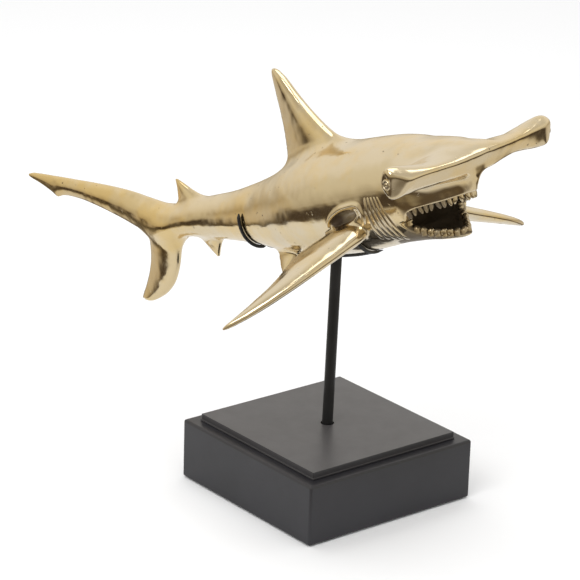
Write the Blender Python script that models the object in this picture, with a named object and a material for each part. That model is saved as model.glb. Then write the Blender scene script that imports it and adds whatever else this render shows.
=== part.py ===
"""A polished brass hammerhead shark, cast in one piece, on a museum mount.

The shark lies in a cradle of thin steel wires on a round post. The post stands in a square
black plinth with a raised top panel. Units are metres, +Z is up, and the origin is at the
middle of the plinth's underside. The shark heads along +X.

The casting is drawn in its own frame: x runs along the body towards the head, y to the
shark's left and z to its back. shark_matrix() then pitches, banks and lifts it.
"""

import math

import bmesh
import bpy
import numpy as np
from mathutils import Matrix, Vector

# Plinth
PLINTH_SIDE = 0.178
PLINTH_HEIGHT = 0.0536
PLINTH_EDGE_RADIUS = 0.0022
PANEL_SIDE = 0.1554
PANEL_THICKNESS = 0.0061
PANEL_EDGE_RADIUS = 0.0026
PANEL_LIP_WIDTH = 0.0008
PANEL_LIP_HEIGHT = 0.0010

# Post and cradle wires
POST_DIAMETER = 0.0095
POST_SOCKET_DEPTH = 0.040
POST_LEAN = math.radians(1.05)
POST_LEAN_TOWARDS = math.radians(51.0)
POST_HOLE_CLEARANCE = 0.0003
PANEL_HOLE_CLEARANCE = 0.0012
HOLE_RUN_OUT = 0.010
WIRE_DIAMETER = 0.0032
SEAT_GAP = 0.0003
SPINE_REAR_X = -0.113
SPINE_FRONT_X = 0.054
REAR_HOOK_X = -0.110
REAR_HOOK_LEAN = 0.012
REAR_HOOK_RISE = math.radians(104.0)
FRONT_HOOK_LEFT_X = 0.034
FRONT_HOOK_RIGHT_X = 0.051
FRONT_HOOK_SLANT = 0.017
FRONT_HOOK_RISE = math.radians(45.0)
SPINE_TAPER_X = 0.020
SPINE_TIP_SHARE = 0.55
HOOK_SWELL = 0.5

# Where the shark is held
SHARK_LIFT = 0.250
SHARK_PITCH = math.radians(21.0)
SHARK_BANK = math.radians(5.0)

# Upper tail lobe from its tip: share of its length, then half width, back, belly, squareness and
# widening towards the back
UPPER_TAIL_ROOT_X = -0.2800
UPPER_TAIL_LENGTH = 0.2020
UPPER_TAIL = (
    (1.0000, 0.0010, 0.0840, 0.0815, 2.0, 0.0),
    (0.9703, 0.0019, 0.0842, 0.0783, 1.9, 0.0),
    (0.9109, 0.0027, 0.0826, 0.0725, 1.8, 0.0),
    (0.8267, 0.0035, 0.0795, 0.0625, 1.7, 0.0),
    (0.7772, 0.0039, 0.0775, 0.0562, 1.7, 0.0),
    (0.7376, 0.0043, 0.0760, 0.0567, 1.7, 0.0),
    (0.5941, 0.0054, 0.0702, 0.0512, 1.7, 0.0),
    (0.4356, 0.0066, 0.0639, 0.0403, 1.7, 0.0),
    (0.2475, 0.0084, 0.0556, 0.0248, 1.75, 0.0),
    (0.1139, 0.0104, 0.0485, 0.0125, 1.8, 0.0),
    (0.0000, 0.0126, 0.0408, 0.0020, 1.85, 0.0),
)
# Trunk and head from the tail's root: x, then the same values
TRUNK = tuple((UPPER_TAIL_ROOT_X - share * UPPER_TAIL_LENGTH, *row) for share, *row in UPPER_TAIL) + (
    (-0.2520, 0.0146, 0.0327, -0.0020, 1.95, 0.0),
    (-0.2260, 0.0158, 0.0303, -0.0006, 2.0, 0.0),
    (-0.1850, 0.0178, 0.0328, -0.0052, 2.0, 0.0),
    (-0.1450, 0.0210, 0.0336, -0.0104, 2.0, 0.0),
    (-0.1060, 0.0262, 0.0370, -0.0170, 2.0, 0.0),
    (-0.0700, 0.0330, 0.0421, -0.0246, 2.0, 0.0),
    (-0.0340, 0.0397, 0.0500, -0.0303, 2.0, 0.0),
    (0.0050, 0.0438, 0.0565, -0.0340, 2.0, 0.0),
    (0.0400, 0.0450, 0.0588, -0.0346, 2.05, 0.0),
    (0.0750, 0.0446, 0.0582, -0.0325, 2.1, 0.0),
    (0.1050, 0.0432, 0.0570, -0.0306, 2.15, 0.0),
    (0.1250, 0.0418, 0.0545, -0.0306, 2.2, 0.02),
    (0.1400, 0.0405, 0.0515, -0.0312, 2.2, 0.06),
    (0.1500, 0.0368, 0.0502, -0.0322, 2.3, 0.15),
    (0.1630, 0.0278, 0.0478, -0.0328, 2.4, 0.45),
    (0.1720, 0.0215, 0.0458, -0.0316, 2.4, 0.62),
    (0.1765, 0.0175, 0.0444, -0.0280, 2.2, 0.66),
    (0.1810, 0.0145, 0.0428, -0.0160, 2.0, 0.50),
    (0.1860, 0.0105, 0.0400, -0.0050, 2.0, 0.30),
    (0.1910, 0.0078, 0.0360, 0.0010, 2.0, 0.15),
    (0.1960, 0.0055, 0.0290, 0.0070, 2.0, 0.05),
    (0.1992, 0.0025, 0.0230, 0.0130, 2.0, 0.0),
)
TRUNK_RING_POINTS = 28
TRUNK_RINGS = 42

# Hammer from its right end to its left: y, front ridge x, back edge x, ridge z, top, underside and
# set-back of the lower edge. The two wings of the casting differ a little.
HAMMER = (
    (-0.0864, 0.2072, 0.1912, 0.0279, 0.0404, 0.0180, 0.0062),
    (-0.0856, 0.2085, 0.1900, 0.0278, 0.0418, 0.0168, 0.0078),
    (-0.0830, 0.2098, 0.1870, 0.0279, 0.0424, 0.0163, 0.0100),
    (-0.0780, 0.2112, 0.1830, 0.0283, 0.0422, 0.0165, 0.0115),
    (-0.0700, 0.2125, 0.1790, 0.0292, 0.0406, 0.0168, 0.0135),
    (-0.0580, 0.2139, 0.1735, 0.0301, 0.0384, 0.0175, 0.0140),
    (-0.0450, 0.2150, 0.1620, 0.0303, 0.0370, 0.0173, 0.0145),
    (-0.0300, 0.2159, 0.1400, 0.0304, 0.0388, 0.0171, 0.0160),
    (-0.0150, 0.2165, 0.1280, 0.0310, 0.0424, 0.0164, 0.0175),
    (0.0000, 0.2165, 0.1250, 0.0318, 0.0440, 0.0165, 0.0190),
    (0.0150, 0.2155, 0.1280, 0.0326, 0.0425, 0.0168, 0.0175),
    (0.0300, 0.2141, 0.1400, 0.0335, 0.0380, 0.0196, 0.0160),
    (0.0450, 0.2122, 0.1620, 0.0343, 0.0380, 0.0216, 0.0145),
    (0.0580, 0.2105, 0.1735, 0.0352, 0.0410, 0.0210, 0.0140),
    (0.0700, 0.2083, 0.1790, 0.0360, 0.0436, 0.0196, 0.0135),
    (0.0780, 0.2063, 0.1825, 0.0363, 0.0445, 0.0193, 0.0115),
    (0.0830, 0.2040, 0.1838, 0.0355, 0.0435, 0.0200, 0.0080),
    (0.0868, 0.2010, 0.1845, 0.0342, 0.0414, 0.0216, 0.0045),
    (0.0884, 0.1985, 0.1858, 0.0333, 0.0395, 0.0234, 0.0026),
)
HAMMER_RINGS = 33
EGG_RINGS = 8
EGG_SIDES = 10
HAMMER_EDGE_RISE = 0.0006
# The flat facet on each front corner: a point of it, and the way it faces on the left
CORNER_POINTS = {1: (0.2063, 0.0780, 0.0363), -1: (0.2103, -0.0740, 0.0282)}
CORNER_FACING = (0.731, 0.551, -0.402)
CORNER_REACH = 0.030
EYE_PLACES = {1: (0.1909, 0.0884, 0.0312), -1: (0.1966, -0.0864, 0.0292)}
EYE_DIAMETER = 0.0090
EYE_RELIEF = 0.0013
EYE_ROOT = 0.0040
DISH_WIDTH = 0.0100
DISH_HEIGHT = 0.0190
DISH_DEPTH = 0.0010

# Fins: front edge (x, out), back edge (x, out) and half thickness, from root to tip
DORSAL_FIN = (
    (0.0700, 0.0380, -0.0620, 0.0300, 0.0150),
    (0.0530, 0.0520, -0.0500, 0.0450, 0.0120),
    (0.0400, 0.0600, -0.0450, 0.0560, 0.0098),
    (0.0260, 0.0690, -0.0420, 0.0670, 0.0084),
    (0.0080, 0.0860, -0.0392, 0.0830, 0.0070),
    (-0.0070, 0.1045, -0.0378, 0.1010, 0.0056),
    (-0.0205, 0.1235, -0.0370, 0.1190, 0.0040),
    (-0.0275, 0.1300, -0.0360, 0.1270, 0.0026),
    (-0.0312, 0.1318, -0.0342, 0.1303, 0.0012),
)
SECOND_DORSAL_FIN = (
    (-0.1800, 0.0250, -0.2380, 0.0180, 0.0075),
    (-0.1950, 0.0350, -0.2330, 0.0285, 0.0060),
    (-0.2060, 0.0415, -0.2300, 0.0375, 0.0042),
    (-0.2170, 0.0488, -0.2276, 0.0460, 0.0026),
    (-0.2248, 0.0540, -0.2264, 0.0532, 0.0009),
)
ANAL_FIN = (
    (-0.1700, -0.0020, -0.2160, 0.0040, 0.0060),
    (-0.1770, -0.0070, -0.2110, -0.0030, 0.0046),
    (-0.1820, -0.0120, -0.2055, -0.0092, 0.0034),
    (-0.1868, -0.0180, -0.1980, -0.0170, 0.0023),
    (-0.1892, -0.0222, -0.1918, -0.0226, 0.0011),
)
LOWER_TAIL_LOBE = (
    (-0.2300, 0.0120, -0.2960, 0.0160, 0.0110),
    (-0.2390, 0.0010, -0.2965, 0.0060, 0.0092),
    (-0.2500, -0.0110, -0.3020, -0.0120, 0.0070),
    (-0.2620, -0.0290, -0.3130, -0.0285, 0.0056),
    (-0.2780, -0.0435, -0.3230, -0.0388, 0.0045),
    (-0.2980, -0.0520, -0.3305, -0.0455, 0.0034),
    (-0.3200, -0.0558, -0.3355, -0.0500, 0.0022),
    (-0.3290, -0.0548, -0.3368, -0.0518, 0.0010),
)
PELVIC_FIN = (
    (-0.0300, -0.0060, -0.0780, -0.0060, 0.0050),
    (-0.0370, 0.0000, -0.0740, 0.0000, 0.0042),
    (-0.0420, 0.0070, -0.0690, 0.0075, 0.0032),
    (-0.0465, 0.0140, -0.0630, 0.0150, 0.0022),
    (-0.0520, 0.0205, -0.0575, 0.0212, 0.0010),
)
PELVIC_ROOT_X = -0.0550
PELVIC_ROOT_Y = 0.0150
PELVIC_SUNK = 0.0040
PELVIC_SPLAY = math.radians(50.0)
PECTORAL_FIN = (
    (0.0760, -0.0240, 0.0500, -0.0220, 0.0095),
    (0.0890, -0.0060, 0.0420, -0.0070, 0.0088),
    (0.0915, 0.0060, 0.0340, 0.0050, 0.0080),
    (0.0880, 0.0230, 0.0280, 0.0230, 0.0069),
    (0.0825, 0.0420, 0.0305, 0.0420, 0.0060),
    (0.0770, 0.0600, 0.0360, 0.0600, 0.0053),
    (0.0705, 0.0780, 0.0385, 0.0780, 0.0046),
    (0.0630, 0.0960, 0.0385, 0.0960, 0.0039),
    (0.0545, 0.1110, 0.0378, 0.1120, 0.0031),
    (0.0455, 0.1230, 0.0372, 0.1250, 0.0022),
    (0.0402, 0.1290, 0.0383, 0.1300, 0.0010),
)
PECTORAL_ROOT_Y = 0.0420
PECTORAL_ROOT_Z = -0.0115
PECTORAL_DROOP = math.radians(20.4)
PECTORAL_DIP = math.radians(3.0)
PECTORAL_DIP_X = 0.0600
FIN_SIDE_POINTS = 7
FIN_RINGS = 11

# Mouth: side outline of the gape, upper lip and lower rim, x and z
UPPER_LIP = (
    (0.1405, -0.0085),
    (0.1430, -0.0050),
    (0.1475, -0.0018),
    (0.1540, 0.0000),
    (0.1640, 0.0003),
    (0.1750, 0.0008),
    (0.1880, 0.0020),
    (0.2000, 0.0030),
)
LOWER_RIM = (
    (0.1340, -0.0100),
    (0.1362, -0.0155),
    (0.1410, -0.0208),
    (0.1500, -0.0246),
    (0.1580, -0.0269),
    (0.1650, -0.0284),
    (0.1860, -0.0295),
)
# How far the gape's outline runs past the snout and the cheeks
GAPE_BEYOND = 0.030
GAPE_STEP = 0.001
GAPE_HALF_WIDTH = 0.060
# Hollows of the mouth: x, half width, roof, floor
PALATE = (
    (0.0950, 0.0060, 0.0000, -0.0120),
    (0.1030, 0.0160, 0.0050, -0.0180),
    (0.1200, 0.0240, 0.0085, -0.0220),
    (0.1380, 0.0290, 0.0105, -0.0220),
    (0.1500, 0.0270, 0.0110, -0.0200),
    (0.1630, 0.0180, 0.0105, -0.0200),
    (0.1730, 0.0110, 0.0090, -0.0150),
    (0.1800, 0.0040, 0.0070, -0.0100),
)
JAW_FLOOR = (
    (0.1100, 0.0080, -0.0120, -0.0220),
    (0.1180, 0.0160, -0.0080, -0.0258),
    (0.1300, 0.0215, -0.0050, -0.0276),
    (0.1400, 0.0190, -0.0050, -0.0284),
    (0.1500, 0.0130, -0.0060, -0.0290),
    (0.1590, 0.0070, -0.0080, -0.0294),
    (0.1650, 0.0025, -0.0120, -0.0292),
)
# Rows of teeth: front x, back x, half width at the back, roundness of the front, teeth on a side
LOWER_ROW = (0.1690, 0.1345, 0.0236, 1.22, 8)
UPPER_ROW = (0.1862, 0.1440, 0.0352, 1.31, 9)
LOWER_TOOTH_WIDTH = 0.0052
UPPER_TOOTH_WIDTH = 0.0050
LOWER_TOOTH_HEIGHT = 0.0046
UPPER_TOOTH_HEIGHT = 0.0060
TOOTH_ROOT = 0.0014

# Gill folds, and the arch that runs over the hollow above the pectoral root
GILL_FOLDS = 5
GILL_TOP_X = 0.1065
GILL_TOP_PITCH = 0.00375
GILL_BOTTOM_X = 0.0960
GILL_BOTTOM_PITCH = 0.0060
GILL_BOW = 0.0010
GILL_TOP_ANGLE = math.radians(4.0)
GILL_BOTTOM_ANGLE = math.radians(-52.0)
GILL_BOTTOM_STEP = math.radians(-2.5)
GILL_RADIUS = 0.0017
PIT_X = 0.0690
PIT_ANGLE = math.radians(-13.5)
PIT_LENGTH = 0.0400
PIT_HEIGHT = 0.0150
PIT_DEPTH = 0.0062
PIT_TILT = math.radians(9.0)
PIT_REAR_DEEPER = 0.35
# The arch: x and angle up round the trunk, from behind the hollow to the fin's front edge
ARCH = (
    (0.0460, math.radians(-18.0)),
    (0.0530, math.radians(-11.0)),
    (0.0618, math.radians(-6.2)),
    (0.0763, math.radians(-2.2)),
    (0.0890, math.radians(-1.6)),
    (0.0958, math.radians(-4.5)),
    (0.0970, math.radians(-12.0)),
    (0.0945, math.radians(-20.0)),
    (0.0900, math.radians(-26.0)),
)
ARCH_RADIUS = 0.0027

helpers = bpy.data.collections.new("casting_helpers")


def clear_scene():
    for old in list(bpy.data.objects):
        bpy.data.objects.remove(old)


def smooth(rows, at):
    """Values between the rows of a table, on a curve that never overshoots them."""
    rows = np.array(rows, float)
    x = rows[:, 0]
    values = rows[:, 1:]
    step = np.diff(x)[:, None]
    slope = np.diff(values, axis=0) / step
    tangent = np.zeros_like(values)
    tangent[0] = slope[0]
    tangent[-1] = slope[-1]
    for i in range(1, len(x) - 1):
        before, after = step[i - 1], step[i]
        left = 2 * after + before
        right = after + 2 * before
        same = slope[i - 1] * slope[i] > 0
        low = np.where(same, slope[i - 1], 1.0)
        high = np.where(same, slope[i], 1.0)
        tangent[i] = np.where(same, (left + right) / (left / low + right / high), 0.0)
    at = np.atleast_1d(np.asarray(at, float))
    cell = np.clip(np.searchsorted(x, at, side="right") - 1, 0, len(x) - 2)
    width = step[cell]
    t = (at - x[cell])[:, None] / width
    return (
        (2 * t**3 - 3 * t**2 + 1) * values[cell]
        + (t**3 - 2 * t**2 + t) * width * tangent[cell]
        + (3 * t**2 - 2 * t**3) * values[cell + 1]
        + (t**3 - t**2) * width * tangent[cell + 1]
    )


def rows_by_order(rows, count):
    """The table read at count even steps from its first row to its last."""
    numbered = [(i, *row) for i, row in enumerate(rows)]
    return smooth(numbered, np.linspace(0, len(rows) - 1, count))


def mesh_object(name, points, faces, helper=True):
    mesh = bpy.data.meshes.new(name)
    mesh.from_pydata([tuple(map(float, p)) for p in points], [], faces)
    shape = bmesh.new()
    shape.from_mesh(mesh)
    bmesh.ops.recalc_face_normals(shape, faces=shape.faces)
    shape.to_mesh(mesh)
    shape.free()
    made = bpy.data.objects.new(name, mesh)
    if helper:
        triangulate(mesh)
        helpers.objects.link(made)
        made.hide_render = True
        made.display_type = "WIRE"
    else:
        bpy.context.scene.collection.objects.link(made)
    return made


def triangulate(mesh):
    shape = bmesh.new()
    shape.from_mesh(mesh)
    bmesh.ops.triangulate(shape, faces=shape.faces)
    shape.to_mesh(mesh)
    shape.free()


def loft(name, rings, helper=True):
    """A closed skin through rings of equally many points, with flat ends."""
    count = len(rings[0])
    faces = []
    for i in range(len(rings) - 1):
        for j in range(count):
            k = (j + 1) % count
            faces.append((i * count + j, i * count + k, (i + 1) * count + k, (i + 1) * count + j))
    last = (len(rings) - 1) * count
    faces.append(tuple(range(count)))
    faces.append(tuple(last + j for j in range(count)))
    return mesh_object(name, [p for ring in rings for p in ring], faces, helper)


def tube(name, path, radii, sides=8, helper=True):
    """A round bar along a path of points, with one radius for each point."""
    path = np.array(path, float)
    ahead = np.gradient(path, axis=0)
    ahead /= np.linalg.norm(ahead, axis=1)[:, None]
    normal = np.cross(ahead[0], (0.0, 0.0, 1.0))
    if np.linalg.norm(normal) < 0.1:
        normal = np.cross(ahead[0], (0.0, 1.0, 0.0))
    rings = []
    for point, along, radius in zip(path, ahead, radii):
        normal = normal - along * np.dot(normal, along)
        normal /= np.linalg.norm(normal)
        across = np.cross(along, normal)
        turns = np.arange(sides) * 2 * math.pi / sides
        rings.append([point + radius * (math.cos(a) * normal + math.sin(a) * across) for a in turns])
    return loft(name, rings, helper)


def rounded_ends(count, radius, share=0.12):
    """Radii of a bar whose ends close like a dome over the given share of its length."""
    t = np.linspace(0, 1, count)
    near_end = np.clip(np.minimum(t, 1 - t) / share, 0, 1)
    return radius * np.sqrt(np.clip(1 - (1 - near_end) ** 2, 0.12, 1))


def power(value, exponent):
    return np.sign(value) * np.abs(value) ** exponent


def trunk_point(x, angle, proud=0.0):
    """A point on the trunk's skin, or that far off it, at an angle up from the shark's left."""
    half, back, belly, square, taper = smooth(TRUNK, x)[0]
    tall = (back - belly) / 2
    z = tall * power(math.sin(angle), 2 / square)
    half *= 1 + taper * z / tall
    y = half * power(math.cos(angle), 2 / square)
    across = power(abs(y) / half, square - 1) * np.sign(y) / half
    upward = power(abs(z) / tall, square - 1) * np.sign(z) / tall
    size = math.hypot(across, upward)
    return np.array((x, y + proud * across / size, (back + belly) / 2 + z + proud * upward / size))


def trunk():
    table = np.array(TRUNK)
    half_way = np.linspace(0, len(TRUNK) - 1, TRUNK_RINGS)
    stations = np.interp(half_way, np.arange(len(TRUNK)), table[:, 0])
    # Half a step round keeps the mirror plane clear of points, so the fins' edges cross flat faces.
    turns = (np.arange(TRUNK_RING_POINTS) + 0.5) * 2 * math.pi / TRUNK_RING_POINTS
    return loft("trunk", [[trunk_point(x, a) for a in turns] for x in stations])


def hammer():
    """The wide head lobe: a wing with a front ridge, a flat front face and bulbous ends."""
    first, last = HAMMER[0][0], HAMMER[-1][0]
    turns = np.linspace(-math.pi / 2, math.pi / 2, HAMMER_RINGS)
    rings = []
    for y in (first + last) / 2 + (last - first) / 2 * np.sin(turns):
        ridge_x, back_x, ridge_z, top, under, setback = smooth(HAMMER, y)[0]
        chord = ridge_x - back_x
        middle = (top + under) / 2
        # Section corners from the ridge over the top to the back edge and under to the lower edge.
        keys = (
            (ridge_x, ridge_z),
            (ridge_x - 0.12 * chord, ridge_z + 0.55 * (top - ridge_z)),
            (ridge_x - 0.40 * chord, top),
            (ridge_x - 0.75 * chord, middle + 0.72 * (top - middle)),
            (back_x, middle),
            (ridge_x - 0.80 * chord, middle + 0.72 * (under - middle)),
            (ridge_x - 0.5 * setback - 0.40 * chord, under),
            (ridge_x - setback, under + HAMMER_EDGE_RISE),
            (ridge_x - 0.45 * setback, ridge_z - 0.52 * (ridge_z - under)),
        )
        keys = keys + keys[:1]
        outline = rows_by_order(keys, 2 * len(keys) - 1)[:-1]
        rings.append([(x, y, z) for x, z in outline])
    return loft("hammer", rings)


def corner_cutter(side):
    """A slab whose inner face takes the hammer's front corner off as a flat facet."""
    point = Vector(CORNER_POINTS[side])
    facing = Vector((CORNER_FACING[0], side * CORNER_FACING[1], CORNER_FACING[2])).normalized()
    along = facing.cross((0.0, 0.0, 1.0)).normalized()
    upward = along.cross(facing)
    square = ((1, 1), (-1, 1), (-1, -1), (1, -1))
    rings = []
    for out in (0.0, CORNER_REACH):
        rings.append([point + out * facing + CORNER_REACH * (a * along + b * upward) for a, b in square])
    return loft(f"corner_cutter_{side}", rings)


def dish_cutter(side):
    """The shallow dish in the flat end of the hammer, round the eye."""
    x, y, z = EYE_PLACES[side]
    return egg(f"dish_cutter_{side}", (x, y, z), (DISH_WIDTH / 2, DISH_DEPTH, DISH_HEIGHT / 2))


def egg(name, centre, halves, lean=0.0, fuller=0.0):
    """A closed egg along x: lean raises its front end, and fuller swells its rear end sideways."""
    rings = []
    for t in np.linspace(-0.97, 0.97, EGG_RINGS):
        round_off = math.sqrt(1 - t * t)
        turns = np.arange(EGG_SIDES) * 2 * math.pi / EGG_SIDES
        rise = halves[0] * t * math.tan(lean)
        rings.append(
            [
                (
                    centre[0] + halves[0] * t,
                    centre[1] + halves[1] * round_off * (1 - fuller * t) * math.cos(a),
                    centre[2] + rise + halves[2] * round_off * math.sin(a),
                )
                for a in turns
            ]
        )
    return loft(name, rings)


def fin_section(row):
    """Outline of a fin at one place: round in front, thickest at a third, sharp behind."""
    front_x, front_out, back_x, back_out, half = row
    points = []
    for step in range(2 * FIN_SIDE_POINTS):
        turn = math.pi * step / FIN_SIDE_POINTS
        u = (1 - math.cos(turn)) / 2
        bulge = 2.97 * math.sqrt(u) - 1.26 * u - 3.52 * u**2 + 2.84 * u**3 - 1.03 * u**4
        side = math.copysign(half * bulge, math.sin(turn)) if 0 < u < 1 else 0.0
        points.append((front_x + u * (back_x - front_x), side, front_out + u * (back_out - front_out)))
    return points


def fin(name, table, frame=None):
    """A fin lofted from its table. The frame turns its upright plane to where it grows."""
    rings = [fin_section(row) for row in rows_by_order(table, FIN_RINGS)]
    made = loft(name, rings)
    if frame is not None:
        made.data.transform(frame)
        if frame.determinant() < 0:
            made.data.flip_normals()
    return made


def side_frame(side, root_y, root_z, below):
    """Turns an upright fin so that it grows sideways and down by an angle below the level."""
    outward = (0.0, side * math.cos(below), -math.sin(below))
    upward = (0.0, side * math.sin(below), math.cos(below))
    return Matrix(
        (
            (1.0, 0.0, 0.0, 0.0),
            (0.0, upward[1], outward[1], side * root_y),
            (0.0, upward[2], outward[2], root_z),
            (0.0, 0.0, 0.0, 1.0),
        )
    )


def fins():
    made = [
        fin("dorsal_fin", DORSAL_FIN),
        fin("second_dorsal_fin", SECOND_DORSAL_FIN),
        fin("anal_fin", ANAL_FIN),
        fin("lower_tail_lobe", LOWER_TAIL_LOBE),
    ]
    for side, word in ((1, "left"), (-1, "right")):
        dip = Matrix.Rotation(-PECTORAL_DIP, 4, "Z")
        about = Matrix.Translation((PECTORAL_DIP_X, 0.0, 0.0))
        pectoral = side_frame(side, PECTORAL_ROOT_Y, PECTORAL_ROOT_Z, PECTORAL_DROOP)
        pectoral = pectoral @ about @ dip @ about.inverted()
        made.append(fin("pectoral_fin_" + word, PECTORAL_FIN, pectoral))
        belly = trunk_point(PELVIC_ROOT_X, -math.pi / 2)[2] + PELVIC_SUNK
        pelvic = side_frame(side, PELVIC_ROOT_Y, belly, PELVIC_SPLAY)
        made.append(fin("pelvic_fin_" + word, PELVIC_FIN, pelvic))
    return made


def gape_cutter():
    """The wedge between the jaws, as one side outline carried right across."""
    upper = [tuple(p) for p in rows_by_order(UPPER_LIP, 16)]
    lower = [tuple(p) for p in rows_by_order(LOWER_RIM, 16)]
    beyond = (UPPER_LIP[-1][0] + GAPE_BEYOND, LOWER_RIM[-1][1] - GAPE_BEYOND)
    front = [(beyond[0], UPPER_LIP[-1][1]), beyond, (LOWER_RIM[-1][0] + GAPE_STEP, beyond[1])]
    outline = upper + front + lower[::-1]
    rings = [[(x, y, z) for x, z in outline] for y in (-GAPE_HALF_WIDTH, GAPE_HALF_WIDTH)]
    return loft("gape_cutter", rings)


def cavity_cutter(name, table):
    rings = []
    for x, half, roof, floor in rows_by_order(table, 14):
        turns = (np.arange(14) + 0.5) * 2 * math.pi / 14
        rings.append(
            [
                (
                    x,
                    half * power(math.cos(a), 0.85),
                    (roof + floor) / 2 + (roof - floor) / 2 * power(math.sin(a), 0.85),
                )
                for a in turns
            ]
        )
    return loft(name, rings)


def tooth_row(row):
    """Places at even steps round a jaw, from its right corner over the front to the left."""
    front_x, back_x, half_width, roundness, per_side = row
    y = np.linspace(-half_width, half_width, 401)
    x = front_x - (front_x - back_x) * (np.abs(y) / half_width) ** roundness
    walked = np.concatenate(([0.0], np.cumsum(np.hypot(np.diff(x), np.diff(y)))))
    even = (np.arange(2 * per_side) + 0.5) * walked[-1] / (2 * per_side)
    return zip(np.interp(even, walked, x), np.interp(even, walked, y))


def tooth(name, place, width, height, away):
    """A stubby cone with a blunt tip. away is 1 for a tooth that points up and -1 for down."""
    x, y, z = place
    rings = []
    profile = ((-TOOTH_ROOT, 0.92), (0.25 * height, 1.0), (0.70 * height, 0.80), (height, 0.28))
    for rise, share in profile:
        radius = share * width / 2
        turns = np.arange(5) * 2 * math.pi / 5
        rings.append(
            [(x + radius * math.cos(a), y + radius * math.sin(a), z + away * rise) for a in turns]
        )
    return loft(name, rings)


def teeth():
    made = []
    rows = (
        ("lower", LOWER_RIM, LOWER_ROW, LOWER_TOOTH_WIDTH, LOWER_TOOTH_HEIGHT, 1),
        ("upper", UPPER_LIP, UPPER_ROW, UPPER_TOOTH_WIDTH, UPPER_TOOTH_HEIGHT, -1),
    )
    for word, line, row, width, height, away in rows:
        for i, (x, y) in enumerate(tooth_row(row)):
            place = (x, y, smooth(line, x)[0][0])
            made.append(tooth(f"{word}_tooth_{i + 1}", place, width, height, away))
    return made


def gill_folds():
    """Ridges that fan out down the side of the throat, the front ones bowed forward."""
    made = []
    for side, word in ((1, "left"), (-1, "right")):
        for i in range(GILL_FOLDS):
            top_x = GILL_TOP_X + i * GILL_TOP_PITCH
            bottom_x = GILL_BOTTOM_X + i * GILL_BOTTOM_PITCH
            bottom_angle = GILL_BOTTOM_ANGLE + i * GILL_BOTTOM_STEP
            path = []
            for t in np.linspace(0, 1, 10):
                x = top_x + t * (bottom_x - top_x) + i * GILL_BOW * math.sin(math.pi * t)
                angle = GILL_TOP_ANGLE + t * (bottom_angle - GILL_TOP_ANGLE)
                point = trunk_point(x, angle, -0.3 * GILL_RADIUS)
                path.append((point[0], side * point[1], point[2]))
            radii = rounded_ends(len(path), GILL_RADIUS, 0.3)
            made.append(tube(f"gill_fold_{word}_{i + 1}", path, radii, 5))
    return made


def pit_cutter(side):
    """The hollow under the arch, deepest behind, where the skin folds in over the pectoral root."""
    x, y, z = trunk_point(PIT_X, PIT_ANGLE)
    halves = (PIT_LENGTH / 2, PIT_DEPTH, PIT_HEIGHT / 2)
    return egg(f"pit_cutter_{side}", (x, side * y, z), halves, PIT_TILT, PIT_REAR_DEEPER)


def arch(side):
    """The raised rim that runs over the hollow and down to the pectoral's front edge."""
    path = []
    for x, angle in rows_by_order(ARCH, 19):
        point = trunk_point(x, angle)
        path.append((point[0], side * point[1], point[2]))
    return tube(f"arch_{side}", path, rounded_ends(len(path), ARCH_RADIUS, 0.35), 6)


def eye(side):
    """A raised round lid with a ring groove and a pupil, in the dish at the hammer's end."""
    centre_x, face, centre_z = EYE_PLACES[side]
    floor = abs(face) - DISH_DEPTH
    profile = ((0.35, 1.0), (1.0, 0.86), (0.9, 0.72), (0.1, 0.62), (0.2, 0.46), (0.9, 0.2))
    steps = [(-EYE_ROOT, 1.0)] + [(rise * EYE_RELIEF, share) for rise, share in profile]
    rings = []
    for out, share in steps:
        turns = np.arange(14) * 2 * math.pi / 14
        radius = share * EYE_DIAMETER / 2
        rings.append(
            [
                (centre_x + radius * math.cos(a), side * (floor + out), centre_z + radius * math.sin(a))
                for a in turns
            ]
        )
    return loft(f"eye_{side}", rings)


def combine(target, operation, parts, name):
    """Joins helper pieces to the target, or cuts them from it, as one Boolean."""
    group = bpy.data.collections.new(name)
    for part in parts:
        group.objects.link(part)
        part.matrix_world = target.matrix_world
    change = target.modifiers.new(name, "BOOLEAN")
    change.operation = operation
    change.operand_type = "COLLECTION"
    change.collection = group
    change.solver = "EXACT"
    return change


def material(name, colour, roughness, metallic):
    made = bpy.data.materials.new(name)
    made.use_nodes = True
    shader = made.node_tree.nodes["Principled BSDF"]
    shader.inputs["Base Color"].default_value = (*colour, 1.0)
    shader.inputs["Roughness"].default_value = roughness
    shader.inputs["Metallic"].default_value = metallic
    return made


def finish(made, stuff):
    made.data.materials.clear()
    made.data.materials.append(stuff)
    made.data.shade_smooth()
    made.data.set_sharp_from_angle(angle=math.radians(35.0))


def shark_matrix():
    return (
        Matrix.Translation((0.0, 0.0, SHARK_LIFT))
        @ Matrix.Rotation(SHARK_BANK, 4, "X")
        @ Matrix.Rotation(-SHARK_PITCH, 4, "Y")
    )


def build_shark(brass):
    casting = trunk()
    casting.name = "shark_casting"
    helpers.objects.unlink(casting)
    bpy.context.scene.collection.objects.link(casting)
    casting.hide_render = False
    casting.display_type = "TEXTURED"
    casting.matrix_world = shark_matrix()
    combine(casting, "UNION", [hammer()], "head")
    hollows = [gape_cutter(), cavity_cutter("palate", PALATE), cavity_cutter("jaw_floor", JAW_FLOOR)]
    for side in (1, -1):
        hollows += [corner_cutter(side), dish_cutter(side), pit_cutter(side)]
    combine(casting, "DIFFERENCE", hollows, "hollows")
    combine(casting, "UNION", fins() + gill_folds() + [arch(1), arch(-1)], "fins_and_folds")
    combine(casting, "UNION", teeth() + [eye(1), eye(-1)], "teeth_and_eyes")
    finish(casting, brass)


def bevel(made, width, segments=4):
    change = made.modifiers.new("rounded_edges", "BEVEL")
    change.width = width
    change.segments = segments
    change.limit_method = "ANGLE"
    change.angle_limit = math.radians(40.0)


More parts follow.
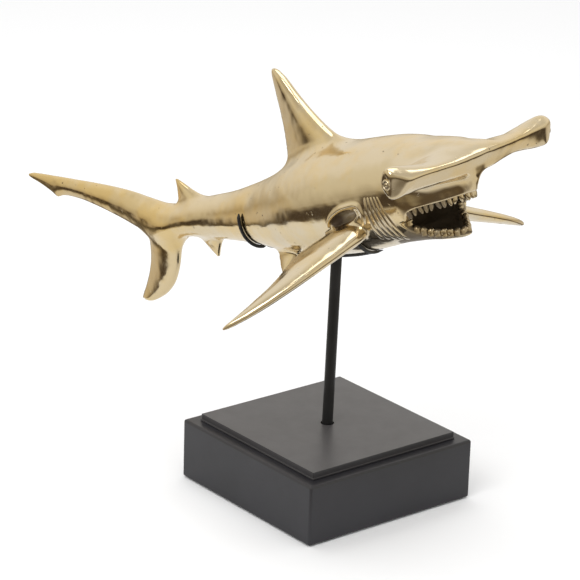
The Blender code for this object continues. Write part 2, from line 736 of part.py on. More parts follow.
def slab(name, side, low, high):
    half = side / 2
    square = ((half, half), (-half, half), (-half, -half), (half, -half))
    return loft(name, [[(x, y, z) for x, y in square] for z in (low, high)], helper=False)


def lipped_slab(name, low):
    """The raised panel, with a small lip that stands out round its foot."""
    rings = []
    lip = PANEL_SIDE + 2 * PANEL_LIP_WIDTH
    steps = (
        (lip, low),
        (lip, low + PANEL_LIP_HEIGHT),
        (PANEL_SIDE, low + PANEL_LIP_HEIGHT),
        (PANEL_SIDE, low + PANEL_THICKNESS),
    )
    for side, z in steps:
        half = side / 2
        rings.append([(half, half, z), (-half, half, z), (-half, -half, z), (half, -half, z)])
    return loft(name, rings, helper=False)


def post_centre(z):
    """The middle of the post at a height: it leans a little from where it leaves the plinth."""
    out = (z - PLINTH_HEIGHT) * math.tan(POST_LEAN)
    return out * math.cos(POST_LEAN_TOWARDS), out * math.sin(POST_LEAN_TOWARDS)


def circle(diameter, centre):
    turns = np.arange(32) * 2 * math.pi / 32
    return [
        (centre[0] + diameter / 2 * math.cos(a), centre[1] + diameter / 2 * math.sin(a)) for a in turns
    ]


def hole(name, diameter, low, high):
    rings = [[(x, y, z) for x, y in circle(diameter, post_centre(z))] for z in (low, high)]
    return loft(name, rings)


def cut(made, cutter):
    change = made.modifiers.new(cutter.name, "BOOLEAN")
    change.operation = "DIFFERENCE"
    change.object = cutter
    change.solver = "EXACT"


def build_plinth(paint):
    block = slab("plinth_block", PLINTH_SIDE, 0.0, PLINTH_HEIGHT)
    bevel(block, PLINTH_EDGE_RADIUS)
    socket = POST_DIAMETER + 2 * POST_HOLE_CLEARANCE
    floor = PLINTH_HEIGHT - POST_SOCKET_DEPTH
    cut(block, hole("post_socket", socket, floor - POST_HOLE_CLEARANCE, PLINTH_HEIGHT + HOLE_RUN_OUT))
    finish(block, paint)
    low = PLINTH_HEIGHT + SEAT_GAP
    panel = lipped_slab("plinth_panel", low)
    bevel(panel, PANEL_EDGE_RADIUS)
    wide = POST_DIAMETER + 2 * PANEL_HOLE_CLEARANCE
    cut(panel, hole("panel_hole", wide, low - HOLE_RUN_OUT, low + PANEL_THICKNESS + HOLE_RUN_OUT))
    finish(panel, paint)


def spine_radius(x):
    """The spine wire is drawn out thinner towards its front end."""
    along = np.clip((x - SPINE_TAPER_X) / (SPINE_FRONT_X - SPINE_TAPER_X), 0, 1)
    return WIRE_DIAMETER / 2 * (1 - (1 - SPINE_TIP_SHARE) * along)


def under_belly(x):
    """The middle of the spine wire below the belly."""
    return trunk_point(x, -math.pi / 2, SEAT_GAP + spine_radius(x))


def build_cradle(steel):
    count = 29
    stations = np.linspace(SPINE_REAR_X, SPINE_FRONT_X, count)
    radii = spine_radius(stations) * rounded_ends(count, 1.0, 0.01)
    spine = tube("spine_wire", [under_belly(x) for x in stations], radii, 10, False)
    spine.matrix_world = shark_matrix()
    finish(spine, steel)
    # The rear arms rise square to the spine. The front pair crosses it at a slant, right arm forward.
    hooks = (
        ("rear_hook_left", 1, REAR_HOOK_X, REAR_HOOK_LEAN, REAR_HOOK_RISE),
        ("rear_hook_right", -1, REAR_HOOK_X, REAR_HOOK_LEAN, REAR_HOOK_RISE),
        ("front_hook_left", 1, FRONT_HOOK_LEFT_X, -FRONT_HOOK_SLANT, FRONT_HOOK_RISE),
        ("front_hook_right", -1, FRONT_HOOK_RIGHT_X, FRONT_HOOK_SLANT, FRONT_HOOK_RISE),
    )
    for name, side, x, lean, rise in hooks:
        half = smooth(TRUNK, x)[0][0]
        first = math.asin((spine_radius(x) + SEAT_GAP) / half)
        # An arm starts as thin as the spine wire is there and soon has its full thickness.
        steps = np.linspace(0, 1, 17)
        foot = spine_radius(x)
        thick = foot + (WIRE_DIAMETER / 2 - foot) * np.clip(steps / HOOK_SWELL, 0, 1)
        path = []
        for t, radius in zip(steps, thick):
            angle = -math.pi / 2 + first + t * (rise - first)
            point = trunk_point(x + lean * t, angle, SEAT_GAP + radius)
            path.append((point[0], side * point[1], point[2]))
        hook = tube(name, path, thick * rounded_ends(len(path), 1.0, 0.03), 10, False)
        hook.matrix_world = shark_matrix()
        finish(hook, steel)


def build_post(steel):
    """The post stands in its socket, and its top is cut to the slope of the spine wire."""
    frame = np.array(shark_matrix())
    stations = np.linspace(SPINE_REAR_X, SPINE_FRONT_X, 400)
    spine = np.array([frame @ np.append(under_belly(x), 1.0) for x in stations])
    lean_x = post_centre(SHARK_LIFT)[0]
    nearest = int(np.argmin(np.abs(spine[:, 0] - lean_x)))
    step = spine[nearest + 4] - spine[nearest - 4]
    slope = step[2] / step[0]
    top = spine[nearest, 2] - (WIRE_DIAMETER / 2 + SEAT_GAP) * math.hypot(1, slope)
    low = PLINTH_HEIGHT - POST_SOCKET_DEPTH
    foot = [(x, y, low) for x, y in circle(POST_DIAMETER, post_centre(low))]
    centre = post_centre(top)
    head = [(x, y, top + slope * (x - centre[0])) for x, y in circle(POST_DIAMETER, centre)]
    post = loft("post_rod", [foot, head], helper=False)
    finish(post, steel)


def main():
    clear_scene()
    bpy.context.scene.collection.children.link(helpers)
    brass = material("polished_brass", (0.80, 0.62, 0.36), 0.18, 1.0)
    paint = material("black_lacquer", (0.020, 0.018, 0.018), 0.45, 0.0)
    steel = material("black_steel", (0.018, 0.019, 0.020), 0.50, 0.3)
    build_plinth(paint)
    build_post(steel)
    build_cradle(steel)
    build_shark(brass)


main()
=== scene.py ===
import math

import bmesh
import bpy
import numpy as np
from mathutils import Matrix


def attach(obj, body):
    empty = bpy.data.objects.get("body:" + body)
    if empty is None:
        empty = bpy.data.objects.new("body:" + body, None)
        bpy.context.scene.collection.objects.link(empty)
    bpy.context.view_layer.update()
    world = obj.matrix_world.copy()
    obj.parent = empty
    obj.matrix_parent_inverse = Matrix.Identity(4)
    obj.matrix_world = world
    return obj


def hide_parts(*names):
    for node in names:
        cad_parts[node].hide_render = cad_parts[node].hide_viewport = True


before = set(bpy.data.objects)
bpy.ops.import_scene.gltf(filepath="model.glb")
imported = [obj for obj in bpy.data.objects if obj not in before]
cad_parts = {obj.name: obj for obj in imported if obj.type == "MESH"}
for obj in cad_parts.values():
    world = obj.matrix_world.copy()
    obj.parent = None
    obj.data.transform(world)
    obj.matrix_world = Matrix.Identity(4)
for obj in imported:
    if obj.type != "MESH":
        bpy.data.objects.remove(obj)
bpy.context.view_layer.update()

import openvdb
from mathutils import Matrix, Vector

# How the shark is held: the casting is shaped in its own frame, x to the head, z to its back
pose = {
    "lift": 0.250,
    "pitch": math.radians(21.0),
    "bank": math.radians(5.0),
}
sharkFrame = (
    Matrix.Translation((0, 0, pose["lift"]))
    @ Matrix.Rotation(pose["bank"], 4, "X")
    @ Matrix.Rotation(-pose["pitch"], 4, "Y")
)


def smooth(rows, at):
    # values between the rows of a table, on a curve that never overshoots them
    rows = np.array(rows, float)
    x = rows[:, 0]
    values = rows[:, 1:]
    step = np.diff(x)[:, None]
    slope = np.diff(values, axis=0) / step
    tangent = np.zeros_like(values)
    tangent[0] = slope[0]
    tangent[-1] = slope[-1]
    for i in range(1, len(x) - 1):
        before, after = step[i - 1], step[i]
        left = 2 * after + before
        right = after + 2 * before
        same = slope[i - 1] * slope[i] > 0
        low = np.where(same, slope[i - 1], 1.0)
        high = np.where(same, slope[i], 1.0)
        tangent[i] = np.where(same, (left + right) / (left / low + right / high), 0.0)
    at = np.atleast_1d(np.asarray(at, float))
    cell = np.clip(np.searchsorted(x, at, side="right") - 1, 0, len(x) - 2)
    width = step[cell]
    t = (at - x[cell])[:, None] / width
    return (
        (2 * t**3 - 3 * t**2 + 1) * values[cell]
        + (t**3 - 2 * t**2 + t) * width * tangent[cell]
        + (3 * t**2 - 2 * t**3) * values[cell + 1]
        + (t**3 - t**2) * width * tangent[cell + 1]
    )


def rowsByOrder(rows, count):
    numbered = [(i, *row) for i, row in enumerate(rows)]
    return smooth(numbered, np.linspace(0, len(rows) - 1, count))


def power(value, exponent):
    return np.sign(value) * np.abs(value) ** exponent


def turns(count):
    return np.arange(count) * 2 * math.pi / count


def loft(rings):
    # points and triangles of a closed skin through rings of equally many points
    rings = np.array(rings, float)
    count, around = rings.shape[:2]
    points = np.vstack([rings.reshape(-1, 3), rings[0].mean(0), rings[-1].mean(0)])
    i, j = np.meshgrid(np.arange(count - 1), np.arange(around), indexing="ij")
    k = (j + 1) % around
    a, b, c, d = i * around + j, i * around + k, (i + 1) * around + k, (i + 1) * around + j
    sides = np.vstack([np.stack([a, b, c], -1).reshape(-1, 3), np.stack([a, c, d], -1).reshape(-1, 3)])
    ring = np.arange(around)
    following = (ring + 1) % around
    last = (count - 1) * around
    start = np.stack([following, ring, np.full(around, len(points) - 2)], -1)
    end = np.stack([last + ring, last + following, np.full(around, len(points) - 1)], -1)
    return points, np.vstack([sides, start, end])


def tube(path, radii, sides):
    path = np.array(path, float)
    ahead = np.gradient(path, axis=0)
    ahead /= np.linalg.norm(ahead, axis=1)[:, None]
    normal = np.cross(ahead[0], (0.0, 0.0, 1.0))
    around = turns(sides)[:, None]
    rings = []
    for point, along, radius in zip(path, ahead, radii):
        normal = normal - along * np.dot(normal, along)
        normal /= np.linalg.norm(normal)
        across = np.cross(along, normal)
        rings.append(point + radius * (np.cos(around) * normal + np.sin(around) * across))
    return loft(rings)


def roundedEnds(count, radius, share):
    t = np.linspace(0, 1, count)
    nearEnd = np.clip(np.minimum(t, 1 - t) / share, 0, 1)
    return radius * np.sqrt(np.clip(1 - (1 - nearEnd) ** 2, 0.003, 1))


# Trunk and upper tail lobe: x, half width, back, belly, squareness, widening towards the back
trunkTable = (
    (-0.4820, 0.0010, 0.0840, 0.0815, 2.0, 0.0),
    (-0.4760, 0.0019, 0.0842, 0.0783, 1.9, 0.0),
    (-0.4640, 0.0027, 0.0826, 0.0725, 1.8, 0.0),
    (-0.4470, 0.0035, 0.0795, 0.0625, 1.7, 0.0),
    (-0.4370, 0.0039, 0.0775, 0.0562, 1.7, 0.0),
    (-0.4290, 0.0043, 0.0760, 0.0567, 1.7, 0.0),
    (-0.4000, 0.0054, 0.0702, 0.0512, 1.7, 0.0),
    (-0.3680, 0.0066, 0.0639, 0.0403, 1.7, 0.0),
    (-0.3300, 0.0084, 0.0556, 0.0248, 1.75, 0.0),
    (-0.3030, 0.0104, 0.0485, 0.0125, 1.8, 0.0),
    (-0.2800, 0.0126, 0.0408, 0.0020, 1.85, 0.0),
    (-0.2520, 0.0146, 0.0327, -0.0020, 1.95, 0.0),
    (-0.2260, 0.0158, 0.0303, -0.0006, 2.0, 0.0),
    (-0.1850, 0.0178, 0.0328, -0.0052, 2.0, 0.0),
    (-0.1450, 0.0210, 0.0336, -0.0104, 2.0, 0.0),
    (-0.1060, 0.0262, 0.0370, -0.0170, 2.0, 0.0),
    (-0.0700, 0.0330, 0.0421, -0.0246, 2.0, 0.0),
    (-0.0340, 0.0397, 0.0500, -0.0303, 2.0, 0.0),
    (0.0050, 0.0438, 0.0565, -0.0340, 2.0, 0.0),
    (0.0400, 0.0450, 0.0588, -0.0346, 2.05, 0.0),
    (0.0750, 0.0446, 0.0582, -0.0325, 2.1, 0.0),
    (0.1050, 0.0432, 0.0570, -0.0306, 2.15, 0.03),
    (0.1250, 0.0418, 0.0545, -0.0306, 2.2, 0.06),
    (0.1400, 0.0405, 0.0515, -0.0312, 2.2, 0.09),
    (0.1500, 0.0368, 0.0502, -0.0322, 2.3, 0.17),
    (0.1630, 0.0278, 0.0478, -0.0328, 2.4, 0.45),
    (0.1720, 0.0215, 0.0458, -0.0316, 2.4, 0.62),
    (0.1765, 0.0175, 0.0444, -0.0280, 2.2, 0.66),
    (0.1810, 0.0145, 0.0428, -0.0160, 2.0, 0.50),
    (0.1860, 0.0105, 0.0400, -0.0050, 2.0, 0.30),
    (0.1910, 0.0078, 0.0360, 0.0010, 2.0, 0.15),
    (0.1960, 0.0055, 0.0290, 0.0070, 2.0, 0.05),
    (0.1992, 0.0025, 0.0230, 0.0130, 2.0, 0.0),
)
trunk = {
    "rings": 260,
    "around": 96,
}


def trunkPoint(x, angle, proud=0.0):
    # a point on the trunk's skin, or that far off it, at an angle up from the shark's left
    x, angle = np.broadcast_arrays(np.atleast_1d(x).astype(float), np.atleast_1d(angle).astype(float))
    half, back, belly, square, taper = smooth(trunkTable, x.ravel()).T.reshape(5, *x.shape)
    tall = (back - belly) / 2
    z = tall * power(np.sin(angle), 2 / square)
    half = half * (1 + taper * z / tall)
    y = half * power(np.cos(angle), 2 / square)
    across = power(np.abs(y) / half, square - 1) * np.sign(y) / half
    upward = power(np.abs(z) / tall, square - 1) * np.sign(z) / tall
    size = np.hypot(across, upward)
    return np.stack([x, y + proud * across / size, (back + belly) / 2 + z + proud * upward / size], -1)


def trunkShape():
    order = np.linspace(0, len(trunkTable) - 1, trunk["rings"])
    stations = np.interp(order, np.arange(len(trunkTable)), np.array(trunkTable)[:, 0])
    angles = (np.arange(trunk["around"]) + 0.5) * 2 * math.pi / trunk["around"]
    return loft(trunkPoint(stations[:, None], angles[None, :]))


# Hammer from right to left: y, front ridge x, back edge x, ridge z, top, underside, and how far
# the lower edge is set back
hammerTable = (
    (-0.0864, 0.2072, 0.1912, 0.0279, 0.0404, 0.0180, 0.0062),
    (-0.0856, 0.2085, 0.1900, 0.0278, 0.0418, 0.0168, 0.0078),
    (-0.0830, 0.2098, 0.1870, 0.0279, 0.0424, 0.0163, 0.0100),
    (-0.0780, 0.2112, 0.1830, 0.0283, 0.0422, 0.0165, 0.0115),
    (-0.0700, 0.2125, 0.1790, 0.0292, 0.0406, 0.0168, 0.0135),
    (-0.0580, 0.2139, 0.1735, 0.0301, 0.0384, 0.0175, 0.0140),
    (-0.0450, 0.2150, 0.1620, 0.0303, 0.0370, 0.0173, 0.0145),
    (-0.0300, 0.2159, 0.1400, 0.0304, 0.0388, 0.0171, 0.0160),
    (-0.0150, 0.2165, 0.1280, 0.0310, 0.0424, 0.0164, 0.0175),
    (0.0000, 0.2165, 0.1250, 0.0318, 0.0440, 0.0165, 0.0190),
    (0.0150, 0.2155, 0.1280, 0.0326, 0.0425, 0.0168, 0.0175),
    (0.0300, 0.2141, 0.1400, 0.0335, 0.0380, 0.0196, 0.0160),
    (0.0450, 0.2122, 0.1620, 0.0343, 0.0380, 0.0216, 0.0145),
    (0.0580, 0.2105, 0.1735, 0.0352, 0.0410, 0.0210, 0.0140),
    (0.0700, 0.2083, 0.1790, 0.0360, 0.0436, 0.0196, 0.0135),
    (0.0780, 0.2063, 0.1825, 0.0363, 0.0445, 0.0193, 0.0115),
    (0.0830, 0.2040, 0.1838, 0.0355, 0.0435, 0.0200, 0.0080),
    (0.0868, 0.2010, 0.1845, 0.0342, 0.0414, 0.0216, 0.0045),
    (0.0884, 0.1985, 0.1858, 0.0333, 0.0395, 0.0234, 0.0026),
)
hammer = {
    "blend": 9,  # voxels over which it flows into the trunk
    "polish": 4,  # passes that take the sharpness off its ridge
    "edgeRise": 0.0006,
    "rings": 150,
    "around": 72,
}
corners = {
    "points": {1: (0.2063, 0.0780, 0.0363), -1: (0.2103, -0.0740, 0.0282)},
    "facing": (0.731, 0.551, -0.402),
    "reach": 0.030,
    "soft": 1.6,  # voxels
}


def hammerShape():
    first, last = hammerTable[0][0], hammerTable[-1][0]
    across = np.sin(np.linspace(-math.pi / 2, math.pi / 2, hammer["rings"]))
    rings = []
    for y in (first + last) / 2 + (last - first) / 2 * across:
        ridgeX, backX, ridgeZ, top, under, setback = smooth(hammerTable, y)[0]
        chord = ridgeX - backX
        middle = (top + under) / 2
        # from the front ridge over the top to the back edge, and along the underside again
        keys = (
            (ridgeX, ridgeZ),
            (ridgeX - 0.12 * chord, ridgeZ + 0.55 * (top - ridgeZ)),
            (ridgeX - 0.40 * chord, top),
            (ridgeX - 0.75 * chord, middle + 0.72 * (top - middle)),
            (backX, middle),
            (ridgeX - 0.80 * chord, middle + 0.72 * (under - middle)),
            (ridgeX - 0.5 * setback - 0.40 * chord, under),
            (ridgeX - setback, under + hammer["edgeRise"]),
            (ridgeX - 0.45 * setback, ridgeZ - 0.52 * (ridgeZ - under)),
        )
        outline = rowsByOrder(keys + keys[:1], hammer["around"] + 1)[:-1]
        rings.append([(x, y, z) for x, z in outline])
    return loft(rings)


def cornerShape(side):
    # a slab whose inner face takes the hammer's front corner off flat
    point = Vector(corners["points"][side])
    facing = Vector((corners["facing"][0], side * corners["facing"][1], corners["facing"][2])).normalized()
    along = facing.cross((0.0, 0.0, 1.0)).normalized()
    upward = along.cross(facing)
    reach = corners["reach"]
    square = ((1, 1), (-1, 1), (-1, -1), (1, -1))
    rings = []
    for out in (0.0, reach):
        rings.append([point + out * facing + reach * (a * along + b * upward) for a, b in square])
    return loft(rings)


# Fins: front edge (x, out), back edge (x, out) and half thickness, from root to tip
finTables = {
    "dorsal": (
        (0.0700, 0.0380, -0.0620, 0.0300, 0.0150),
        (0.0530, 0.0520, -0.0500, 0.0450, 0.0120),
        (0.0400, 0.0600, -0.0450, 0.0560, 0.0098),
        (0.0260, 0.0690, -0.0420, 0.0670, 0.0084),
        (0.0080, 0.0860, -0.0392, 0.0830, 0.0070),
        (-0.0070, 0.1045, -0.0378, 0.1010, 0.0056),
        (-0.0205, 0.1235, -0.0370, 0.1190, 0.0040),
        (-0.0275, 0.1300, -0.0360, 0.1270, 0.0026),
        (-0.0312, 0.1318, -0.0342, 0.1303, 0.0012),
    ),
    "secondDorsal": (
        (-0.1800, 0.0250, -0.2380, 0.0180, 0.0075),
        (-0.1950, 0.0350, -0.2330, 0.0285, 0.0060),
        (-0.2060, 0.0415, -0.2300, 0.0375, 0.0042),
        (-0.2170, 0.0488, -0.2276, 0.0460, 0.0026),
        (-0.2248, 0.0540, -0.2264, 0.0532, 0.0009),
    ),
    "anal": (
        (-0.1700, -0.0020, -0.2160, 0.0040, 0.0060),
        (-0.1770, -0.0070, -0.2110, -0.0030, 0.0046),
        (-0.1820, -0.0120, -0.2055, -0.0092, 0.0034),
        (-0.1868, -0.0180, -0.1980, -0.0170, 0.0023),
        (-0.1892, -0.0222, -0.1918, -0.0226, 0.0011),
    ),
    "lowerTail": (
        (-0.2300, 0.0120, -0.2960, 0.0160, 0.0110),
        (-0.2390, 0.0010, -0.2965, 0.0060, 0.0092),
        (-0.2500, -0.0110, -0.3020, -0.0120, 0.0070),
        (-0.2620, -0.0290, -0.3130, -0.0285, 0.0056),
        (-0.2780, -0.0435, -0.3230, -0.0388, 0.0045),
        (-0.2980, -0.0520, -0.3305, -0.0455, 0.0034),
        (-0.3200, -0.0558, -0.3355, -0.0500, 0.0022),
        (-0.3290, -0.0548, -0.3368, -0.0518, 0.0010),
    ),
    "pelvic": (
        (-0.0300, -0.0060, -0.0780, -0.0060, 0.0050),
        (-0.0370, 0.0000, -0.0740, 0.0000, 0.0042),
        (-0.0420, 0.0070, -0.0690, 0.0075, 0.0032),
        (-0.0465, 0.0140, -0.0630, 0.0150, 0.0022),
        (-0.0520, 0.0205, -0.0575, 0.0212, 0.0010),
    ),
    "pectoral": (
        (0.0760, -0.0240, 0.0500, -0.0220, 0.0095),
        (0.0890, -0.0060, 0.0420, -0.0070, 0.0088),
        (0.0915, 0.0060, 0.0340, 0.0050, 0.0080),
        (0.0880, 0.0230, 0.0280, 0.0230, 0.0069),
        (0.0825, 0.0420, 0.0305, 0.0420, 0.0060),
        (0.0770, 0.0600, 0.0360, 0.0600, 0.0053),
        (0.0705, 0.0780, 0.0385, 0.0780, 0.0046),
        (0.0630, 0.0960, 0.0385, 0.0960, 0.0039),
        (0.0545, 0.1110, 0.0378, 0.1120, 0.0031),
        (0.0455, 0.1230, 0.0372, 0.1250, 0.0022),
        (0.0402, 0.1290, 0.0383, 0.1300, 0.0010),
    ),
}
fins = {
    "rings": 70,
    "sidePoints": 28,
    "section": (2.97, -1.26, -3.52, 2.84, -1.03),  # by the root of the share back, then by its powers
    "blend": {"dorsal": 9, "secondDorsal": 6, "anal": 5, "lowerTail": 9, "pectoral": 3, "pelvic": 5},
}
sideFins = {
    "pelvicRootY": 0.0150,
    "pelvicRootX": -0.055,
    "pelvicSunk": 0.004,
    "pelvicSplay": math.radians(50.0),
    "pectoralRootY": 0.0420,
    "pectoralRootZ": -0.0115,
    "pectoralDroop": math.radians(20.4),
    "pectoralDip": math.radians(3.0),
    "pectoralDipX": 0.0600,
}


def finShape(table, turn=None):
    sides = fins["sidePoints"]
    root, *powers = fins["section"]
    rings = []
    for frontX, frontOut, backX, backOut, half in rowsByOrder(table, fins["rings"]):
        ring = []
        for step in range(2 * sides):
            angle = math.pi * step / sides
            u = (1 - math.cos(angle)) / 2
            bulge = root * math.sqrt(u)
            for i, size in enumerate(powers):
                bulge += size * u ** (i + 1)
            side = math.copysign(half * bulge, math.sin(angle)) if 0 < u < 1 else 0.0
            ring.append((frontX + u * (backX - frontX), side, frontOut + u * (backOut - frontOut)))
        rings.append(ring)
    points, faces = loft(rings)
    if turn is not None:
        turn = np.array(turn)
        points = points @ turn[:3, :3].T + turn[:3, 3]
    return points, faces


def sideFrame(side, rootY, rootZ, below):
    outward = (0.0, side * math.cos(below), -math.sin(below))
    upward = (0.0, side * math.sin(below), math.cos(below))
    return Matrix(
        (
            (1.0, 0.0, 0.0, 0.0),
            (0.0, upward[1], outward[1], side * rootY),
            (0.0, upward[2], outward[2], rootZ),
            (0.0, 0.0, 0.0, 1.0),
        )
    )


def pectoralFrame(side):
    grown = sideFrame(side, sideFins["pectoralRootY"], sideFins["pectoralRootZ"], sideFins["pectoralDroop"])
    about = Matrix.Translation((sideFins["pectoralDipX"], 0, 0))
    return grown @ about @ Matrix.Rotation(-sideFins["pectoralDip"], 4, "Z") @ about.inverted()


def pelvicFrame(side):
    belly = trunkPoint(sideFins["pelvicRootX"], -math.pi / 2)[0][2] + sideFins["pelvicSunk"]
    return sideFrame(side, sideFins["pelvicRootY"], belly, sideFins["pelvicSplay"])


# Mouth: side outline of the gape, then its two hollows as x, half width, roof, floor
upperLip = (
    (0.1405, -0.0085),
    (0.1430, -0.0050),
    (0.1475, -0.0018),
    (0.1540, 0.0000),
    (0.1640, 0.0003),
    (0.1750, 0.0008),
    (0.1880, 0.0020),
    (0.2000, 0.0030),
)
lowerRim = (
    (0.1340, -0.0100),
    (0.1362, -0.0155),
    (0.1410, -0.0208),
    (0.1500, -0.0246),
    (0.1580, -0.0269),
    (0.1650, -0.0284),
    (0.1860, -0.0295),
)
palateTable = (
    (0.0950, 0.0060, 0.0000, -0.0120),
    (0.1030, 0.0160, 0.0050, -0.0180),
    (0.1200, 0.0240, 0.0085, -0.0220),
    (0.1380, 0.0290, 0.0105, -0.0220),
    (0.1500, 0.0270, 0.0110, -0.0200),
    (0.1630, 0.0180, 0.0105, -0.0200),
    (0.1730, 0.0110, 0.0090, -0.0150),
    (0.1800, 0.0040, 0.0070, -0.0100),
)
jawFloorTable = (
    (0.1100, 0.0080, -0.0120, -0.0220),
    (0.1180, 0.0160, -0.0080, -0.0258),
    (0.1300, 0.0215, -0.0050, -0.0276),
    (0.1400, 0.0190, -0.0050, -0.0284),
    (0.1500, 0.0130, -0.0060, -0.0290),
    (0.1590, 0.0070, -0.0080, -0.0294),
    (0.1650, 0.0025, -0.0120, -0.0292),
)
mouth = {
    "points": 60,
    "around": 48,
    "roundness": 0.85,
    "halfWidth": 0.060,
    "beyond": 0.03,
    "lipStep": 0.001,
    "soft": 1.2,
}


def gapeShape():
    upper = [tuple(p) for p in rowsByOrder(upperLip, mouth["points"])]
    lower = [tuple(p) for p in rowsByOrder(lowerRim, mouth["points"])]
    beyond = (upperLip[-1][0] + mouth["beyond"], lowerRim[-1][1] - mouth["beyond"])
    front = [(beyond[0], upperLip[-1][1]), beyond, (lowerRim[-1][0] + mouth["lipStep"], beyond[1])]
    outline = upper + front + lower[::-1]
    return loft([[(x, y, z) for x, z in outline] for y in (-mouth["halfWidth"], mouth["halfWidth"])])


def hollowShape(table):
    angles = turns(mouth["around"])
    rings = []
    for x, half, roof, floor in rowsByOrder(table, mouth["points"]):
        y = half * power(np.cos(angles), mouth["roundness"])
        z = (roof + floor) / 2 + (roof - floor) / 2 * power(np.sin(angles), mouth["roundness"])
        rings.append(np.stack([np.full(len(angles), x), y, z], -1))
    return loft(rings)


def eggShape(centre, halves, lean=0.0, fuller=0.0, count=40):
    # an egg along x: lean raises its front end, and fuller swells its rear end sideways
    angles = turns(count)
    rings = []
    for t in np.linspace(-0.995, 0.995, count):
        roundOff = math.sqrt(1 - t * t)
        x = np.full(count, centre[0] + halves[0] * t)
        y = centre[1] + halves[1] * roundOff * (1 - fuller * t) * np.cos(angles)
        z = centre[2] + halves[0] * t * math.tan(lean) + halves[2] * roundOff * np.sin(angles)
        rings.append(np.stack([x, y, z], -1))
    return loft(rings)


pit = {
    "x": 0.0690,
    "angle": math.radians(-13.5),
    "length": 0.0400,
    "height": 0.0118,
    "depth": 0.0062,
    "tilt": math.radians(9.0),
    "rearDeeper": 0.35,
    "soft": 2.0,
}
# The arch over the pit: x and angle up round the trunk, from behind it to the fin's front edge
arch = {
    "path": (
        (0.0460, math.radians(-18.0)),
        (0.0530, math.radians(-11.0)),
        (0.0618, math.radians(-6.2)),
        (0.0763, math.radians(-2.2)),
        (0.0890, math.radians(-1.6)),
        (0.0958, math.radians(-4.5)),
        (0.0970, math.radians(-12.0)),
        (0.0945, math.radians(-20.0)),
        (0.0900, math.radians(-26.0)),
    ),
    "radius": 0.0015,
    "endShare": 0.35,
    "rings": 80,
    "around": 20,
    "blend": 2,
}


def pitShape(side):
    x, y, z = trunkPoint(pit["x"], pit["angle"])[0]
    halves = (pit["length"] / 2, pit["depth"], pit["height"] / 2)
    return eggShape((x, side * y, z), halves, pit["tilt"], pit["rearDeeper"])


def archShape(side):
    x, angle = rowsByOrder(arch["path"], arch["rings"]).T
    path = trunkPoint(x, angle) * (1, side, 1)
    return tube(path, roundedEnds(arch["rings"], arch["radius"], arch["endShare"]), arch["around"])


eye = {
    "places": {1: (0.1909, 0.0884, 0.0312), -1: (0.1966, -0.0864, 0.0292)},
    "diameter": 0.0090,
    "relief": 0.0013,
    "root": 0.0040,
    "around": 48,
    "dish": (0.0100, 0.0010, 0.0190),
    "dishSoft": 0.8,
    # rise, share of the radius and darkness (oxide, with painted shade in the groove), from the root over
    # the lid and its groove to the pupil
    "profile": (
        (-1.0, 1.0, 0.5), (0.0, 1.0, 0.5), (0.35, 1.0, 0.2), (0.85, 0.94, 0.0), (1.0, 0.86, 0.0),
        (0.9, 0.76, 0.1), (0.4, 0.68, 0.6), (0.1, 0.60, 0.9), (0.1, 0.50, 0.9), (0.35, 0.44, 0.4),
        (0.75, 0.34, 0.0), (0.92, 0.20, 0.0), (0.95, 0.04, 0.0),
    ),
}


def dishShape(side):
    wide, deep, tall = eye["dish"]
    return eggShape(eye["places"][side], (wide / 2, deep, tall / 2))


clay = {
    "voxel": 0.0011,
    "band": 10,  # voxels kept each side of a skin
    "low": (-0.492, -0.178, -0.072),
    "high": (0.228, 0.178, 0.142),
    "mostTriangles": 190000,
    "settle": 2,  # times that the thinned skin is drawn back to the shape
    "normalReach": 0.8,
    "creaseReach": 2.5,
}
# The casting is one block of signed distances, in voxels, that shapes are joined to and cut from
lowCell = np.floor(np.array(clay["low"]) / clay["voxel"]).astype(int)
highCell = np.ceil(np.array(clay["high"]) / clay["voxel"]).astype(int)
body = np.full(highCell - lowCell, float(clay["band"]), np.float32)


def distances(shape):
    points, faces = shape
    cells = points / clay["voxel"]
    grid = openvdb.FloatGrid.createLevelSetFromPolygons(
        np.ascontiguousarray(cells, np.float32),
        np.ascontiguousarray(faces, np.uint32),
        None,
        openvdb.createLinearTransform(1.0),
        float(clay["band"]),
    )
    low = np.maximum(np.floor(cells.min(0)).astype(int) - clay["band"], lowCell)
    high = np.minimum(np.ceil(cells.max(0)).astype(int) + clay["band"], highCell)
    block = np.full(high - low, float(clay["band"]), np.float32)
    grid.copyToArray(block, ijk=tuple(int(c) for c in low))
    place = tuple(slice(a - o, b - o) for a, b, o in zip(low, high, lowCell))
    return block, place


def rubbed(block, times):
    # polishing rounds every ridge off
    for _ in range(times):
        for axis in range(3):
            block = (np.roll(block, 1, axis) + 2 * block + np.roll(block, -1, axis)) / 4
    return block


def join(shape, soft, polish=0):
    block, place = distances(shape)
    block = rubbed(block, polish)
    was = body[place]
    mix = np.clip(0.5 + 0.5 * (block - was) / soft, 0, 1)
    joined = block * (1 - mix) + was * mix - soft * mix * (1 - mix)
    far = np.maximum(block, was) > clay["band"] - 0.01
    body[place] = np.where(far, np.minimum(block, was), joined)


def cut(shape, soft):
    block, place = distances(shape)
    block = -block
    was = body[place]
    mix = np.clip(0.5 - 0.5 * (block - was) / soft, 0, 1)
    left = block * (1 - mix) + was * mix + soft * mix * (1 - mix)
    far = np.minimum(block, was) < 0.01 - clay["band"]
    body[place] = np.where(far, np.maximum(block, was), left)


